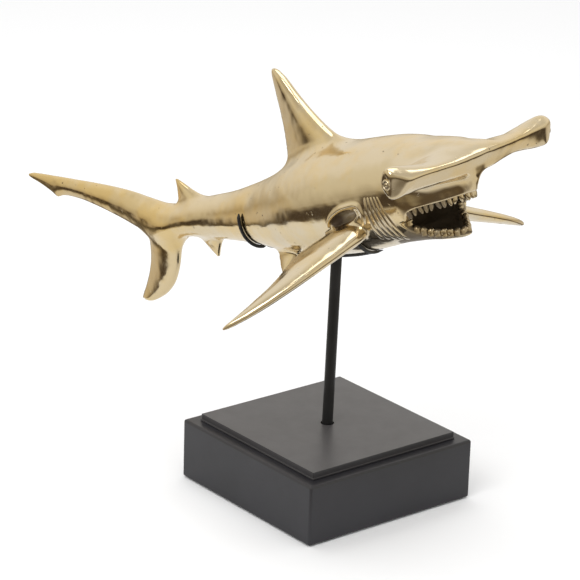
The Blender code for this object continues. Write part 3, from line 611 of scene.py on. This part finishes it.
def sample(field, cells):
    # the field between its grid points
    at = np.clip(cells - lowCell, 0, np.array(field.shape) - 1.001)
    base = np.floor(at).astype(int)
    part = at - base
    total = 0
    for dx in (0, 1):
        for dy in (0, 1):
            for dz in (0, 1):
                weight = (
                    (part[:, 0] if dx else 1 - part[:, 0])
                    * (part[:, 1] if dy else 1 - part[:, 1])
                    * (part[:, 2] if dz else 1 - part[:, 2])
                )
                total = total + weight * field[base[:, 0] + dx, base[:, 1] + dy, base[:, 2] + dz]
    return total


def steepest(cells, reach=1.0):
    slope = np.stack(
        [sample(body, cells + d) - sample(body, cells - d) for d in reach * np.eye(3)], -1
    )
    return slope / np.maximum(np.linalg.norm(slope, axis=1), 1e-9)[:, None]


def meshPiece(name, points, faces):
    mesh = bpy.data.meshes.new(name)
    mesh.from_pydata(points, [], faces)
    mesh.update()
    mesh.shade_smooth()
    piece = bpy.data.objects.new(name, mesh)
    bpy.context.scene.collection.objects.link(piece)
    return piece


def placed(points):
    turn = np.array(sharkFrame)
    return np.asarray(points) @ turn[:3, :3].T + turn[:3, 3]


def shapeCasting():
    join(trunkShape(), 1)
    join(hammerShape(), hammer["blend"], hammer["polish"])
    cut(gapeShape(), mouth["soft"])
    cut(hollowShape(palateTable), mouth["soft"])
    cut(hollowShape(jawFloorTable), mouth["soft"])
    for side in (1, -1):
        cut(cornerShape(side), corners["soft"])
        cut(dishShape(side), eye["dishSoft"])
        cut(pitShape(side), pit["soft"])
    for name in ("dorsal", "secondDorsal", "anal", "lowerTail"):
        join(finShape(finTables[name]), fins["blend"][name])
    for side in (1, -1):
        join(finShape(finTables["pectoral"], pectoralFrame(side)), fins["blend"]["pectoral"])
        join(finShape(finTables["pelvic"], pelvicFrame(side)), fins["blend"]["pelvic"])
        join(archShape(side), arch["blend"])


def pointValues(mesh, name, values):
    made = mesh.attributes.new(name, "FLOAT", "POINT")
    made.data.foreach_set("value", values.astype(np.float32))


# Where the skin darkens deep in the mouth and the pits: brown oxide, and painted shade in these hollows.
# Each depth is where it starts below the trunk's skin, then how far it grows
tarnishAndShade = {
    "mouthX": (0.094, 0.182),
    "mouthZ": (-0.0305, 0.0115),
    "mouthBeside": 0.0035,
    "mouthDepth": (0.0012, 0.0150),
    "mouthCurve": 0.8,
    "mouthMost": 0.85,
    "pitBeside": 0.002,
    "pitHalfHeight": 0.010,
    "pitFromY": 0.030,
    "pitDepth": (0.0006, 0.0016),
    "pitRear": (0.0685, 0.0080),
    "pitFront": 0.55,
}


def oxideAndShadeDepth(points):
    # 1 deep inside the mouth and the pits, 0 on the open skin: oxide there, and painted shade that deepens
    # into these hollows
    x, y, z = points.T
    half = np.interp(x, [row[0] for row in palateTable], [row[1] for row in palateTable], left=0, right=0)
    inside = np.abs(y) < half + tarnishAndShade["mouthBeside"]
    inside &= (x > tarnishAndShade["mouthX"][0]) & (x < tarnishAndShade["mouthX"][1])
    inside &= (z > tarnishAndShade["mouthZ"][0]) & (z < tarnishAndShade["mouthZ"][1])
    outerHalf, back, belly, square = smooth(trunkTable, x)[:, :4].T
    start, reach = tarnishAndShade["mouthDepth"]
    deep = np.clip((outerHalf - np.abs(y) - start) / reach, 0, 1) ** tarnishAndShade["mouthCurve"]
    inMouth = np.where(inside, tarnishAndShade["mouthMost"] * deep, 0.0)
    # the pits are darkest at their deep rear end: painted shade, with oxide
    pitZ = trunkPoint(pit["x"], pit["angle"])[0][2]
    near = np.abs(x - pit["x"]) < pit["length"] / 2 + tarnishAndShade["pitBeside"]
    near &= (np.abs(z - pitZ) < tarnishAndShade["pitHalfHeight"]) & (np.abs(y) > tarnishAndShade["pitFromY"])
    off = np.clip(np.abs(z - (back + belly) / 2) / ((back - belly) / 2), 0, 1)
    skin = outerHalf * (1 - off**square) ** (1 / square)
    start, reach = tarnishAndShade["pitDepth"]
    sunk = np.clip((skin - np.abs(y) - start) / reach, 0, 1)
    rear = np.clip((tarnishAndShade["pitRear"][0] - x) / tarnishAndShade["pitRear"][1], 0, 1)
    inPit = np.where(near, sunk * (tarnishAndShade["pitFront"] + (1 - tarnishAndShade["pitFront"]) * rear), 0.0)
    return np.maximum(inMouth, inPit)


def castingPiece():
    shapeCasting()
    grid = openvdb.FloatGrid(float(clay["band"]))
    grid.copyFromArray(body, ijk=tuple(int(c) for c in lowCell), tolerance=0.001)
    points, triangles, quads = grid.convertToPolygons(0.0, 0.0)
    faces = triangles.tolist() + quads.tolist()
    rough = meshPiece("sharkRough", points, faces)
    count = sum(len(f) - 2 for f in faces)
    print("casting skin:", count, "triangles before thinning")
    if count > clay["mostTriangles"]:
        thin = rough.modifiers.new("thin", "DECIMATE")
        thin.ratio = clay["mostTriangles"] / count
    graph = bpy.context.evaluated_depsgraph_get()
    mesh = bpy.data.meshes.new_from_object(rough.evaluated_get(graph))
    bpy.data.objects.remove(rough)
    cells = np.empty(len(mesh.vertices) * 3, np.float32)
    mesh.vertices.foreach_get("co", cells)
    cells = cells.reshape(-1, 3).astype(float)
    for _ in range(clay["settle"]):
        cells -= steepest(cells) * sample(body, cells)[:, None]
    normals = steepest(cells, clay["normalReach"])
    mesh.vertices.foreach_set("co", placed(cells * clay["voxel"]).astype(np.float32).ravel())
    mesh.update()
    turned = normals @ np.array(sharkFrame)[:3, :3].T
    mesh.shade_smooth()
    mesh.normals_split_custom_set_from_vertices(turned.tolist())
    # how hollow the skin is, for the dark in its creases: the oxide that polishing leaves there, and
    # painted shade
    hollow = 0
    for d in clay["creaseReach"] * np.vstack([np.eye(3), -np.eye(3)]):
        hollow = hollow + sample(body, cells + d) / 6
    pointValues(mesh, "creaseOxideAndShade", np.clip(-hollow, -1, 1))
    pointValues(mesh, "oxideAndShade", oxideAndShadeDepth(cells * clay["voxel"]))
    piece = bpy.data.objects.new("sharkCasting", mesh)
    bpy.context.scene.collection.objects.link(piece)
    return piece


def material(name, build, look):
    made = bpy.data.materials.new(name)
    made.use_nodes = True
    nodes, links = made.node_tree.nodes, made.node_tree.links
    build(nodes, links, nodes["Principled BSDF"], look)
    return made


def noise(nodes, scale, detail=2.0, rough=0.5, stretch=None):
    coord = nodes.new("ShaderNodeTexCoord")
    mapping = nodes.new("ShaderNodeMapping")
    if stretch:
        mapping.inputs["Scale"].default_value = stretch
    made = nodes.new("ShaderNodeTexNoise")
    made.inputs["Scale"].default_value = scale
    made.inputs["Detail"].default_value = detail
    made.inputs["Roughness"].default_value = rough
    tree = made.id_data
    tree.links.new(coord.outputs["Object"], mapping.inputs["Vector"])
    tree.links.new(mapping.outputs["Vector"], made.inputs["Vector"])
    return made.outputs["Fac"]


def ramp(nodes, links, value, stops):
    made = nodes.new("ShaderNodeValToRGB")
    made.color_ramp.elements[0].position = stops[0][0]
    made.color_ramp.elements[0].color = (*stops[0][1], 1)
    made.color_ramp.elements[1].position = stops[-1][0]
    made.color_ramp.elements[1].color = (*stops[-1][1], 1)
    for at, colour in stops[1:-1]:
        made.color_ramp.elements.new(at).color = (*colour, 1)
    links.new(value, made.inputs["Fac"])
    return made.outputs["Color"]


def spread(nodes, links, value, low, high, newLow, newHigh):
    made = nodes.new("ShaderNodeMapRange")
    made.inputs["From Min"].default_value = low
    made.inputs["From Max"].default_value = high
    made.inputs["To Min"].default_value = newLow
    made.inputs["To Max"].default_value = newHigh
    links.new(value, made.inputs["Value"])
    return made.outputs["Result"]


def mixed(nodes, links, share, first, second):
    made = nodes.new("ShaderNodeMix")
    made.data_type = "RGBA"
    for socket, value in ((made.inputs[6], first), (made.inputs[7], second)):
        if isinstance(value, tuple):
            socket.default_value = (*value, 1)
        else:
            links.new(value, socket)
    links.new(share, made.inputs[0])
    return made.outputs[2]


def sums(nodes, links, operation, first, second):
    made = nodes.new("ShaderNodeMath")
    made.operation = operation
    made.use_clamp = operation != "MULTIPLY"
    for i, value in enumerate((first, second)):
        if isinstance(value, float):
            made.inputs[i].default_value = value
        else:
            links.new(value, made.inputs[i])
    return made.outputs[0]


def relief(nodes, links, shader, height, strength, distance):
    bump = nodes.new("ShaderNodeBump")
    bump.inputs["Strength"].default_value = strength
    bump.inputs["Distance"].default_value = distance
    links.new(height, bump.inputs["Height"])
    links.new(bump.outputs["Normal"], shader.inputs["Normal"])


# Each noise is its scale, detail and roughness. Each range is what goes in, then what comes out
brassLook = {
    "bright": (0.71, 0.605, 0.42),
    "warm": (0.74, 0.56, 0.27),
    # the brown of oxide and painted shade
    "dark": (0.085, 0.058, 0.036),
    "tailwards": (-0.05, -0.30, 0.0, 0.55),
    "patchNoise": (15, 4, 0.65),  # yellow smudges
    "patches": (0.46, 0.66, 0.0, 0.9),
    # how dark the creases turn, with oxide and painted shade
    "creaseOxideShadeRange": (0.25, 0.75, 0.0, 0.75),
    "speckNoise": (210, 2, 0.5),
    "specks": (0.72, 0.77, 0.0, 0.6),
    "speckDepth": 0.12,
    "crust": (0.3, 1.0, 1.0, 0.35),
    "streakNoise": (38, 4, 0.6, (1.0, 1.0, 3.0)),  # drawn out by the polishing
    "streaks": (0.3, 0.75, 0.10, 0.20),
    "grimeAndShadeRough": 0.35,
    "waveNoise": (30, 2, 0.45),
    "waveHeight": 0.0020,  # how uneven the hand-finished skin is
}


def brassNodes(nodes, links, shader, look):
    # paler at the head, yellower in soft patches and towards the tail
    place = nodes.new("ShaderNodeSeparateXYZ")
    links.new(nodes.new("ShaderNodeTexCoord").outputs["Object"], place.inputs[0])
    tailwards = spread(nodes, links, place.outputs["X"], *look["tailwards"])
    patches = spread(nodes, links, noise(nodes, *look["patchNoise"]), *look["patches"])
    warmth = sums(nodes, links, "ADD", patches, tailwards)
    colour = mixed(nodes, links, warmth, look["bright"], look["warm"])
    # creases, the mouth and pits, and specks darken the brass: oxide and painted shade in the creases and
    # hollows, real flaws in the specks
    creaseOxideAndShade = nodes.new("ShaderNodeAttribute")
    creaseOxideAndShade.attribute_name = "creaseOxideAndShade"
    oxideAndShade = nodes.new("ShaderNodeAttribute")
    oxideAndShade.attribute_name = "oxideAndShade"
    grimeAndShade = spread(nodes, links, creaseOxideAndShade.outputs["Fac"], *look["creaseOxideShadeRange"])
    grimeAndShade = sums(nodes, links, "MAXIMUM", grimeAndShade, oxideAndShade.outputs["Fac"])
    specks = spread(nodes, links, noise(nodes, *look["speckNoise"]), *look["specks"])
    grimeAndShade = sums(nodes, links, "MAXIMUM", grimeAndShade, specks)
    colour = mixed(nodes, links, grimeAndShade, colour, look["dark"])
    links.new(colour, shader.inputs["Base Color"])
    # where oxide and painted shade run deep, the skin is a dull brown crust
    metal = spread(nodes, links, oxideAndShade.outputs["Fac"], *look["crust"])
    links.new(metal, shader.inputs["Metallic"])
    rough = spread(nodes, links, noise(nodes, *look["streakNoise"]), *look["streaks"])
    rough = sums(nodes, links, "ADD", rough, sums(nodes, links, "MULTIPLY", grimeAndShade, look["grimeAndShadeRough"]))
    links.new(rough, shader.inputs["Roughness"])
    wave = noise(nodes, *look["waveNoise"])
    sunk = sums(nodes, links, "MULTIPLY", specks, look["speckDepth"])
    relief(nodes, links, shader, sums(nodes, links, "SUBTRACT", wave, sunk), 1.0, look["waveHeight"])


paintLook = {
    "colour": (0.0138, 0.0134, 0.0162),
    "metallic": 0.0,
    "cloudNoise": (14, 3, 0.5),
    "clouds": (0.35, 0.7, 1.5),
    "hazeNoise": (60, 3, 0.6),
    "haze": (0.3, 0.7, 0.33, 0.41),
    "grainNoise": (700, 2, 0.5),
    "grain": (0.10, 0.0003),
    "bloom": {"Sheen Weight": 0.30, "Sheen Roughness": 0.45, "Sheen Tint": (1.0, 0.94, 0.88, 1.0)},
}
steelLook = {
    "colour": (0.008, 0.0082, 0.0088),
    "metallic": 0.2,
    "cloudNoise": (45, 3, 0.5),
    "clouds": (0.35, 0.72, 1.8),
    "hazeNoise": (120, 3, 0.6),
    "haze": (0.3, 0.7, 0.36, 0.50),
    "grainNoise": (300, 2, 0.5),
    "grain": (0.2, 0.0003),
}


def coatNodes(nodes, links, shader, look):
    # a satin black coat, cloudy where it is worn, with a fine grain
    low, high, lighter = look["clouds"]
    cloudy = tuple(lighter * part for part in look["colour"])
    clouds = noise(nodes, *look["cloudNoise"])
    coat = ramp(nodes, links, clouds, ((low, look["colour"]), (high, cloudy)))
    links.new(coat, shader.inputs["Base Color"])
    shader.inputs["Metallic"].default_value = look["metallic"]
    haze = spread(nodes, links, noise(nodes, *look["hazeNoise"]), *look["haze"])
    links.new(haze, shader.inputs["Roughness"])
    relief(nodes, links, shader, noise(nodes, *look["grainNoise"]), *look["grain"])


def panelNodes(nodes, links, shader, look):
    coatNodes(nodes, links, shader, look)
    # a hazy bloom on the flat lacquer
    for name, value in look["bloom"].items():
        shader.inputs[name].default_value = value


brass = material("polishedBrass", brassNodes, brassLook)
paint = material("blackLacquer", coatNodes, paintLook)
panelPaint = material("panelLacquer", panelNodes, paintLook)
steel = material("blackSteel", coatNodes, steelLook)


def merged(shapes):
    points, faces, oxideAndShade = [], [], []
    count = 0
    for (shapePoints, shapeFaces), shapeOxide in shapes:
        points.append(shapePoints)
        faces.append(np.asarray(shapeFaces) + count)
        oxideAndShade.append(np.broadcast_to(shapeOxide, len(shapePoints)))
        count += len(shapePoints)
    return np.vstack(points), np.vstack(faces).tolist(), np.concatenate(oxideAndShade)


def sharkPiece(name, shapes):
    # one piece from closed shapes, each with how dark its oxide and painted shade are
    points, faces, oxideAndShade = merged(shapes)
    piece = meshPiece(name, placed(points), faces)
    shape = bmesh.new()
    shape.from_mesh(piece.data)
    bmesh.ops.recalc_face_normals(shape, faces=shape.faces)
    shape.to_mesh(piece.data)
    shape.free()
    piece.data.shade_smooth()
    pointValues(piece.data, "oxideAndShade", oxideAndShade)
    piece.data.materials.append(brass)
    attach(piece, "root")
    return piece


# how dark each row is: brown oxide, with more painted shade on the upper row, which hangs in the jaw's
# shade
toothRows = {
    "lower": {"front": 0.1702, "back": 0.1325, "half": 0.0285, "round": 1.18, "count": 9,
              "width": 0.0064, "height": 0.0050, "root": 0.0020, "line": lowerRim, "up": 1,
              "dome": 2.6, "oxideAndShade": 0.40},
    "upper": {"front": 0.1862, "back": 0.1440, "half": 0.0352, "round": 1.31, "count": 11,
              "width": 0.0046, "height": 0.0056, "root": 0.0014, "line": upperLip, "up": -1,
              "dome": 1.5, "oxideAndShade": 0.74},
}
teeth = {
    "seed": 5,
    "around": 20,
    "rings": 16,
    "foot": (0.88, 0.4),  # its share of the width, and how high it reaches
    "lean": 0.25,
    "sizes": (0.9, 1.06),
    "oxides": (0.7, 1.2),
    # painted light on the front teeth: from this x, over this far, by this share they are lightened
    "bright": (0.168, 0.010, 0.85),  # from this x, over this far, by this share
}


def toothPlaces(row, steps=801):
    y = np.linspace(-row["half"], row["half"], steps)
    x = row["front"] - (row["front"] - row["back"]) * (np.abs(y) / row["half"]) ** row["round"]
    walked = np.concatenate(([0.0], np.cumsum(np.hypot(np.diff(x), np.diff(y)))))
    even = (np.arange(2 * row["count"]) + 0.5) * walked[-1] / (2 * row["count"])
    return zip(np.interp(even, walked, x), np.interp(even, walked, y))


def toothShape(place, row, grown, lean):
    # the foot is a little narrower, and the crown closes in a dome
    footWidth, footHeight = teeth["foot"]
    angles = turns(teeth["around"])
    height = row["height"] * grown[1]
    rings = []
    for t in np.linspace(0, 1, teeth["rings"]):
        rise = -row["root"] + (height + row["root"]) * math.sin(t * math.pi / 2)
        share = max(rise, 0) / height
        radius = row["width"] * grown[0] / 2
        radius *= footWidth + (1 - footWidth) * min(share / footHeight, 1)
        radius *= math.sqrt(max(1 - share ** row["dome"], 0.002))
        shift = lean * max(rise, 0) * teeth["lean"]
        x = place[0] + shift[0] + radius * np.cos(angles)
        y = place[1] + shift[1] + radius * np.sin(angles)
        rings.append(np.stack([x, y, np.full(len(angles), place[2] + row["up"] * rise)], -1))
    return loft(rings)


def teethPiece():
    random = np.random.default_rng(teeth["seed"])
    unshadedFrom, unshadedReach, unshadedShare = teeth["bright"]
    shapes = []
    for row in toothRows.values():
        for x, y in toothPlaces(row):
            place = (x, y, smooth(row["line"], x)[0][0])
            lean = random.uniform(-1, 1, 2)
            grown = random.uniform(*teeth["sizes"], 2)
            # painted light: the teeth at the very front are left lighter, out of the mouth's shade
            bright = np.clip((x - unshadedFrom) / unshadedReach, 0, 1)
            oxideAndShade = row["oxideAndShade"] * random.uniform(*teeth["oxides"]) * (1 - unshadedShare * bright)
            shapes.append((toothShape(place, row, grown, lean), oxideAndShade))
    return sharkPiece("teeth", shapes)


gills = {
    "folds": 5,
    "topX": 0.1065,
    "topPitch": 0.00375,
    "bottomX": 0.0960,
    "bottomPitch": 0.0060,
    "bow": 0.0010,
    "topAngle": math.radians(4.0),
    "bottomAngle": math.radians(-52.0),
    "bottomStep": math.radians(-2.5),
    "relief": 0.0012,
    "crest": 0.9,
    "edgeSunk": 0.0002,
    "rootSunk": 0.0016,
    "width": 0.52,
    "rootWidth": 0.4,
    "fade": (4.5, 0.6),  # how fast the ends run out
    # the groove's darkness is oxide and painted shade between the folds
    "groove": (0.55, 0.35, 0.75),  # where the oxide starts, how far it grows, and its most
    "across": 15,
    "along": 90,
}


def gillFold(side, i):
    # a pleat down the throat whose flanks meet its neighbours' in grooves darkened with oxide and painted
    # shade
    across = np.linspace(-1, 1, gills["across"])
    crest = np.cos(across * math.pi / 2) ** gills["crest"]
    fadeRate, fadeCurve = gills["fade"]
    rings = []
    for t in np.linspace(0, 1, gills["along"]):
        pitch = gills["topPitch"] + t * (gills["bottomPitch"] - gills["topPitch"])
        x = gills["topX"] + i * gills["topPitch"]
        bow = i * gills["bow"] * math.sin(math.pi * t)
        x += t * (gills["bottomX"] + i * gills["bottomPitch"] - x) + bow
        angle = gills["topAngle"] + t * (gills["bottomAngle"] + i * gills["bottomStep"] - gills["topAngle"])
        fade = min(1.0, fadeRate * t, fadeRate * (1 - t)) ** fadeCurve
        top = trunkPoint(x + across * pitch * gills["width"], angle, 0.0)
        skin = trunkPoint(x + across * pitch * gills["width"], angle, 1.0) - top
        proud = gills["relief"] * fade * crest - gills["edgeSunk"]
        under = trunkPoint(x + across[::-1] * pitch * gills["rootWidth"], angle, -gills["rootSunk"])
        rings.append(np.vstack([top + skin * proud[:, None], under]) * (1, side, 1))
    grooveFrom, grooveReach, grooveOxideAndShade = gills["groove"]
    groove = np.clip((np.abs(across) - grooveFrom) / grooveReach, 0, 1)
    groove = np.concatenate([groove, np.ones(gills["across"])])
    oxideAndShade = np.concatenate([np.tile(grooveOxideAndShade * groove, gills["along"]), (1.0, 1.0)])
    return loft(rings), oxideAndShade


def gillPiece():
    return sharkPiece("gillFolds", [gillFold(side, i) for side in (1, -1) for i in range(gills["folds"])])


def eyePiece():
    angles = turns(eye["around"])
    shapes = []
    for side in (1, -1):
        centreX, face, centreZ = eye["places"][side]
        floor = abs(face) - eye["dish"][1]
        rings = []
        for rise, share, _ in eye["profile"]:
            out = floor + rise * (eye["root"] if rise < 0 else eye["relief"])
            radius = share * eye["diameter"] / 2
            x = centreX + radius * np.cos(angles)
            z = centreZ + radius * np.sin(angles)
            rings.append(np.stack([x, np.full(len(angles), side * out), z], -1))
        oxideAndShade = np.concatenate([np.repeat([row[2] for row in eye["profile"]], len(angles)), (0.5, 0.0)])
        shapes.append((loft(rings), oxideAndShade))
    return sharkPiece("eyes", shapes)


casting = castingPiece()
casting.data.materials.append(brass)
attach(casting, "root")
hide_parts("shark_casting")
print("casting:", len(casting.data.polygons), "faces")
teethPiece()
gillPiece()
eyePiece()
print("teeth, gills and eyes made")

for node, coat in (
    ("plinth_block", paint),
    ("plinth_panel", panelPaint),
    ("post_rod", steel),
    ("spine_wire", steel),
    ("rear_hook_left", steel),
    ("rear_hook_right", steel),
    ("front_hook_left", steel),
    ("front_hook_right", steel),
):
    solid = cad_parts[node]
    solid.data.materials.clear()
    solid.data.materials.append(coat)
print("plinth, post and wires painted")

# Camera, solved from the plinth's corners in the photograph
lens = {
    "azimuth": math.radians(51.1055),
    "elevation": math.radians(20.066),
    "roll": math.radians(1.7502),
    "distance": 13.8754 * 0.178,  # so many sides of the plinth
    "focal": 2828.1,
    "targetX": 324.91,
    "targetY": 485.985,
    "frame": 580,
    "sensor": 36,
    "near": 0.05,
    "far": 50,
}


def aimCamera():
    a, e, r = lens["azimuth"], lens["elevation"], lens["roll"]
    back = Vector((math.sin(a) * math.cos(e), -math.cos(a) * math.cos(e), math.sin(e)))
    level = Vector((math.cos(a), math.sin(a), 0))
    upright = back.cross(level)
    right = math.cos(r) * level + math.sin(r) * upright
    up = math.cos(r) * upright - math.sin(r) * level
    perPixel = lens["distance"] / lens["focal"]
    middle = lens["frame"] / 2
    place = back * lens["distance"]
    place -= (lens["targetX"] - middle) * perPixel * right
    place += (lens["targetY"] - middle) * perPixel * up
    data = bpy.data.cameras.new("camera")
    data.sensor_width = lens["sensor"]
    data.lens = lens["focal"] / lens["frame"] * lens["sensor"]
    data.clip_start = lens["near"]
    data.clip_end = lens["far"]
    camera = bpy.data.objects.new("camera", data)
    bpy.context.scene.collection.objects.link(camera)
    columns = (right, up, back, place)
    camera.matrix_world = Matrix([[column[i] for column in columns] for i in range(3)] + [(0, 0, 0, 1)])
    bpy.context.scene.camera = camera


studio = {
    "floor": {"half": 7.0, "z": -0.0010, "grey": 0.93},
    "table": {"radius": 0.36, "behind": 0.157, "z": -0.0005, "grey": 0.74, "around": 96},
    "sky": 0.85,  # what lights everything but the mirrored metal
    "front": (math.sin(lens["azimuth"]), -math.cos(lens["azimuth"])),
    "frontFrom": (-0.56, -0.40),
    "darkSide": (0.47, -0.88),  # the way to the dimmest part of the room
    "darkFrom": (0.45, 0.75),
}
lamps = {
    "keyLamp": {"place": (0.6, -1.6, 1.9), "size": 1.2, "power": 18},
    "topLamp": {"place": (-0.3, 0.2, 2.2), "size": 1.6, "power": 14},
}
# What the metal mirrors, by the height it looks at: light walls behind, a dark stretch of room past
# the table on both sides, and the dim room round the camera
mirroredBehind = (
    (-1.00, (0.80, 0.77, 0.72)), (-0.62, (0.76, 0.72, 0.65)), (-0.59, (0.55, 0.49, 0.38)),
    (-0.57, (0.16, 0.13, 0.09)), (-0.51, (0.12, 0.10, 0.07)), (-0.46, (0.40, 0.34, 0.25)),
    (-0.42, (0.64, 0.57, 0.46)), (-0.32, (0.68, 0.61, 0.49)), (-0.16, (0.50, 0.43, 0.31)),
    (0.00, (0.82, 0.76, 0.65)), (0.16, (0.95, 0.91, 0.84)), (0.40, (0.98, 0.95, 0.91)),
    (0.70, (0.85, 0.82, 0.76)), (1.00, (0.64, 0.61, 0.56)),
)
mirroredAside = (
    (-1.00, (0.80, 0.77, 0.72)), (-0.62, (0.78, 0.74, 0.67)), (-0.585, (0.62, 0.57, 0.46)),
    (-0.565, (0.20, 0.16, 0.11)), (-0.54, (0.09, 0.07, 0.05)), (-0.385, (0.07, 0.05, 0.035)),
    (-0.345, (0.28, 0.23, 0.16)), (-0.30, (0.55, 0.49, 0.37)), (-0.10, (0.80, 0.74, 0.60)),
    (0.30, (0.88, 0.83, 0.71)), (0.70, (0.74, 0.70, 0.62)), (1.00, (0.64, 0.61, 0.56)),
)
mirroredAhead = (
    (-1.00, (0.55, 0.52, 0.46)), (-0.94, (0.24, 0.20, 0.15)), (-0.86, (0.11, 0.085, 0.06)),
    (-0.45, (0.12, 0.09, 0.06)), (-0.34, (0.34, 0.29, 0.20)), (-0.20, (0.50, 0.44, 0.33)),
    (0.10, (0.54, 0.47, 0.36)), (0.60, (0.50, 0.46, 0.38)), (1.00, (0.60, 0.58, 0.54)),
)


def whiteNodes(nodes, links, shader, grey):
    shader.inputs["Base Color"].default_value = (grey, grey, grey, 1)
    shader.inputs["Roughness"].default_value = 0.6
    shader.inputs["Specular IOR Level"].default_value = 0.0


def floorPiece():
    ground, top = studio["floor"], studio["table"]
    half = ground["half"]
    corner = [(-half, -half), (half, -half), (half, half), (-half, half)]
    floor = meshPiece("floor", [(*at, ground["z"]) for at in corner], [(0, 1, 2, 3)])
    # the table top reaches further behind the plinth than in front of it
    x, y = (-top["behind"] * part for part in studio["front"])
    reach = top["radius"]
    rim = [(x + reach * math.cos(a), y + reach * math.sin(a), top["z"]) for a in turns(top["around"])]
    table = meshPiece("table", rim, [tuple(range(top["around"]))])
    for surface, grey in ((floor, ground["grey"]), (table, top["grey"])):
        surface.data.materials.append(material(surface.name + "White", whiteNodes, grey))
    # metal mirrors the table round the plinth, and past it the room
    floor.visible_glossy = False
    table.visible_camera = False
    table.visible_diffuse = False
    table.visible_shadow = False


def areaLamp(name, place, size, power, aim=(0, 0, 0.2)):
    data = bpy.data.lights.new(name, "AREA")
    data.shape = "SQUARE"
    data.size = size
    data.energy = power
    lamp = bpy.data.objects.new(name, data)
    bpy.context.scene.collection.objects.link(lamp)
    lamp.location = place
    lamp.rotation_mode = "QUATERNION"
    lamp.rotation_quaternion = (Vector(aim) - Vector(place)).to_track_quat("-Z", "Y")


def towards(nodes, links, looking, direction, low, high):
    made = nodes.new("ShaderNodeVectorMath")
    made.operation = "DOT_PRODUCT"
    made.inputs[1].default_value = (*direction, 0)
    links.new(looking, made.inputs[0])
    return spread(nodes, links, made.outputs["Value"], low, high, 0.0, 1.0)


def skyLight():
    world = bpy.data.worlds.new("studio")
    bpy.context.scene.world = world
    world.use_nodes = True
    nodes, links = world.node_tree.nodes, world.node_tree.links
    looking = nodes.new("ShaderNodeTexCoord").outputs["Generated"]
    split = nodes.new("ShaderNodeSeparateXYZ")
    links.new(looking, split.inputs[0])
    height = spread(nodes, links, split.outputs["Z"], -1.0, 1.0, 0.0, 1.0)
    behind, aside, ahead = (
        ramp(nodes, links, height, [((z + 1) / 2, light) for z, light in walls])
        for walls in (mirroredBehind, mirroredAside, mirroredAhead)
    )
    sideways = towards(nodes, links, looking, studio["front"], *studio["frontFrom"])
    room = mixed(nodes, links, sideways, behind, aside)
    dim = towards(nodes, links, looking, studio["darkSide"], *studio["darkFrom"])
    room = mixed(nodes, links, dim, room, ahead)
    path = nodes.new("ShaderNodeLightPath")
    colour = mixed(nodes, links, path.outputs["Is Glossy Ray"], (studio["sky"],) * 3, room)
    colour = mixed(nodes, links, path.outputs["Is Camera Ray"], colour, (1.0, 1.0, 1.0))
    links.new(colour, nodes["Background"].inputs["Color"])


bpy.context.scene.view_settings.view_transform = "Standard"
aimCamera()
floorPiece()
skyLight()
for name, lamp in lamps.items():
    areaLamp(name, lamp["place"], lamp["size"], lamp["power"])
print("camera, floor and lamps set")
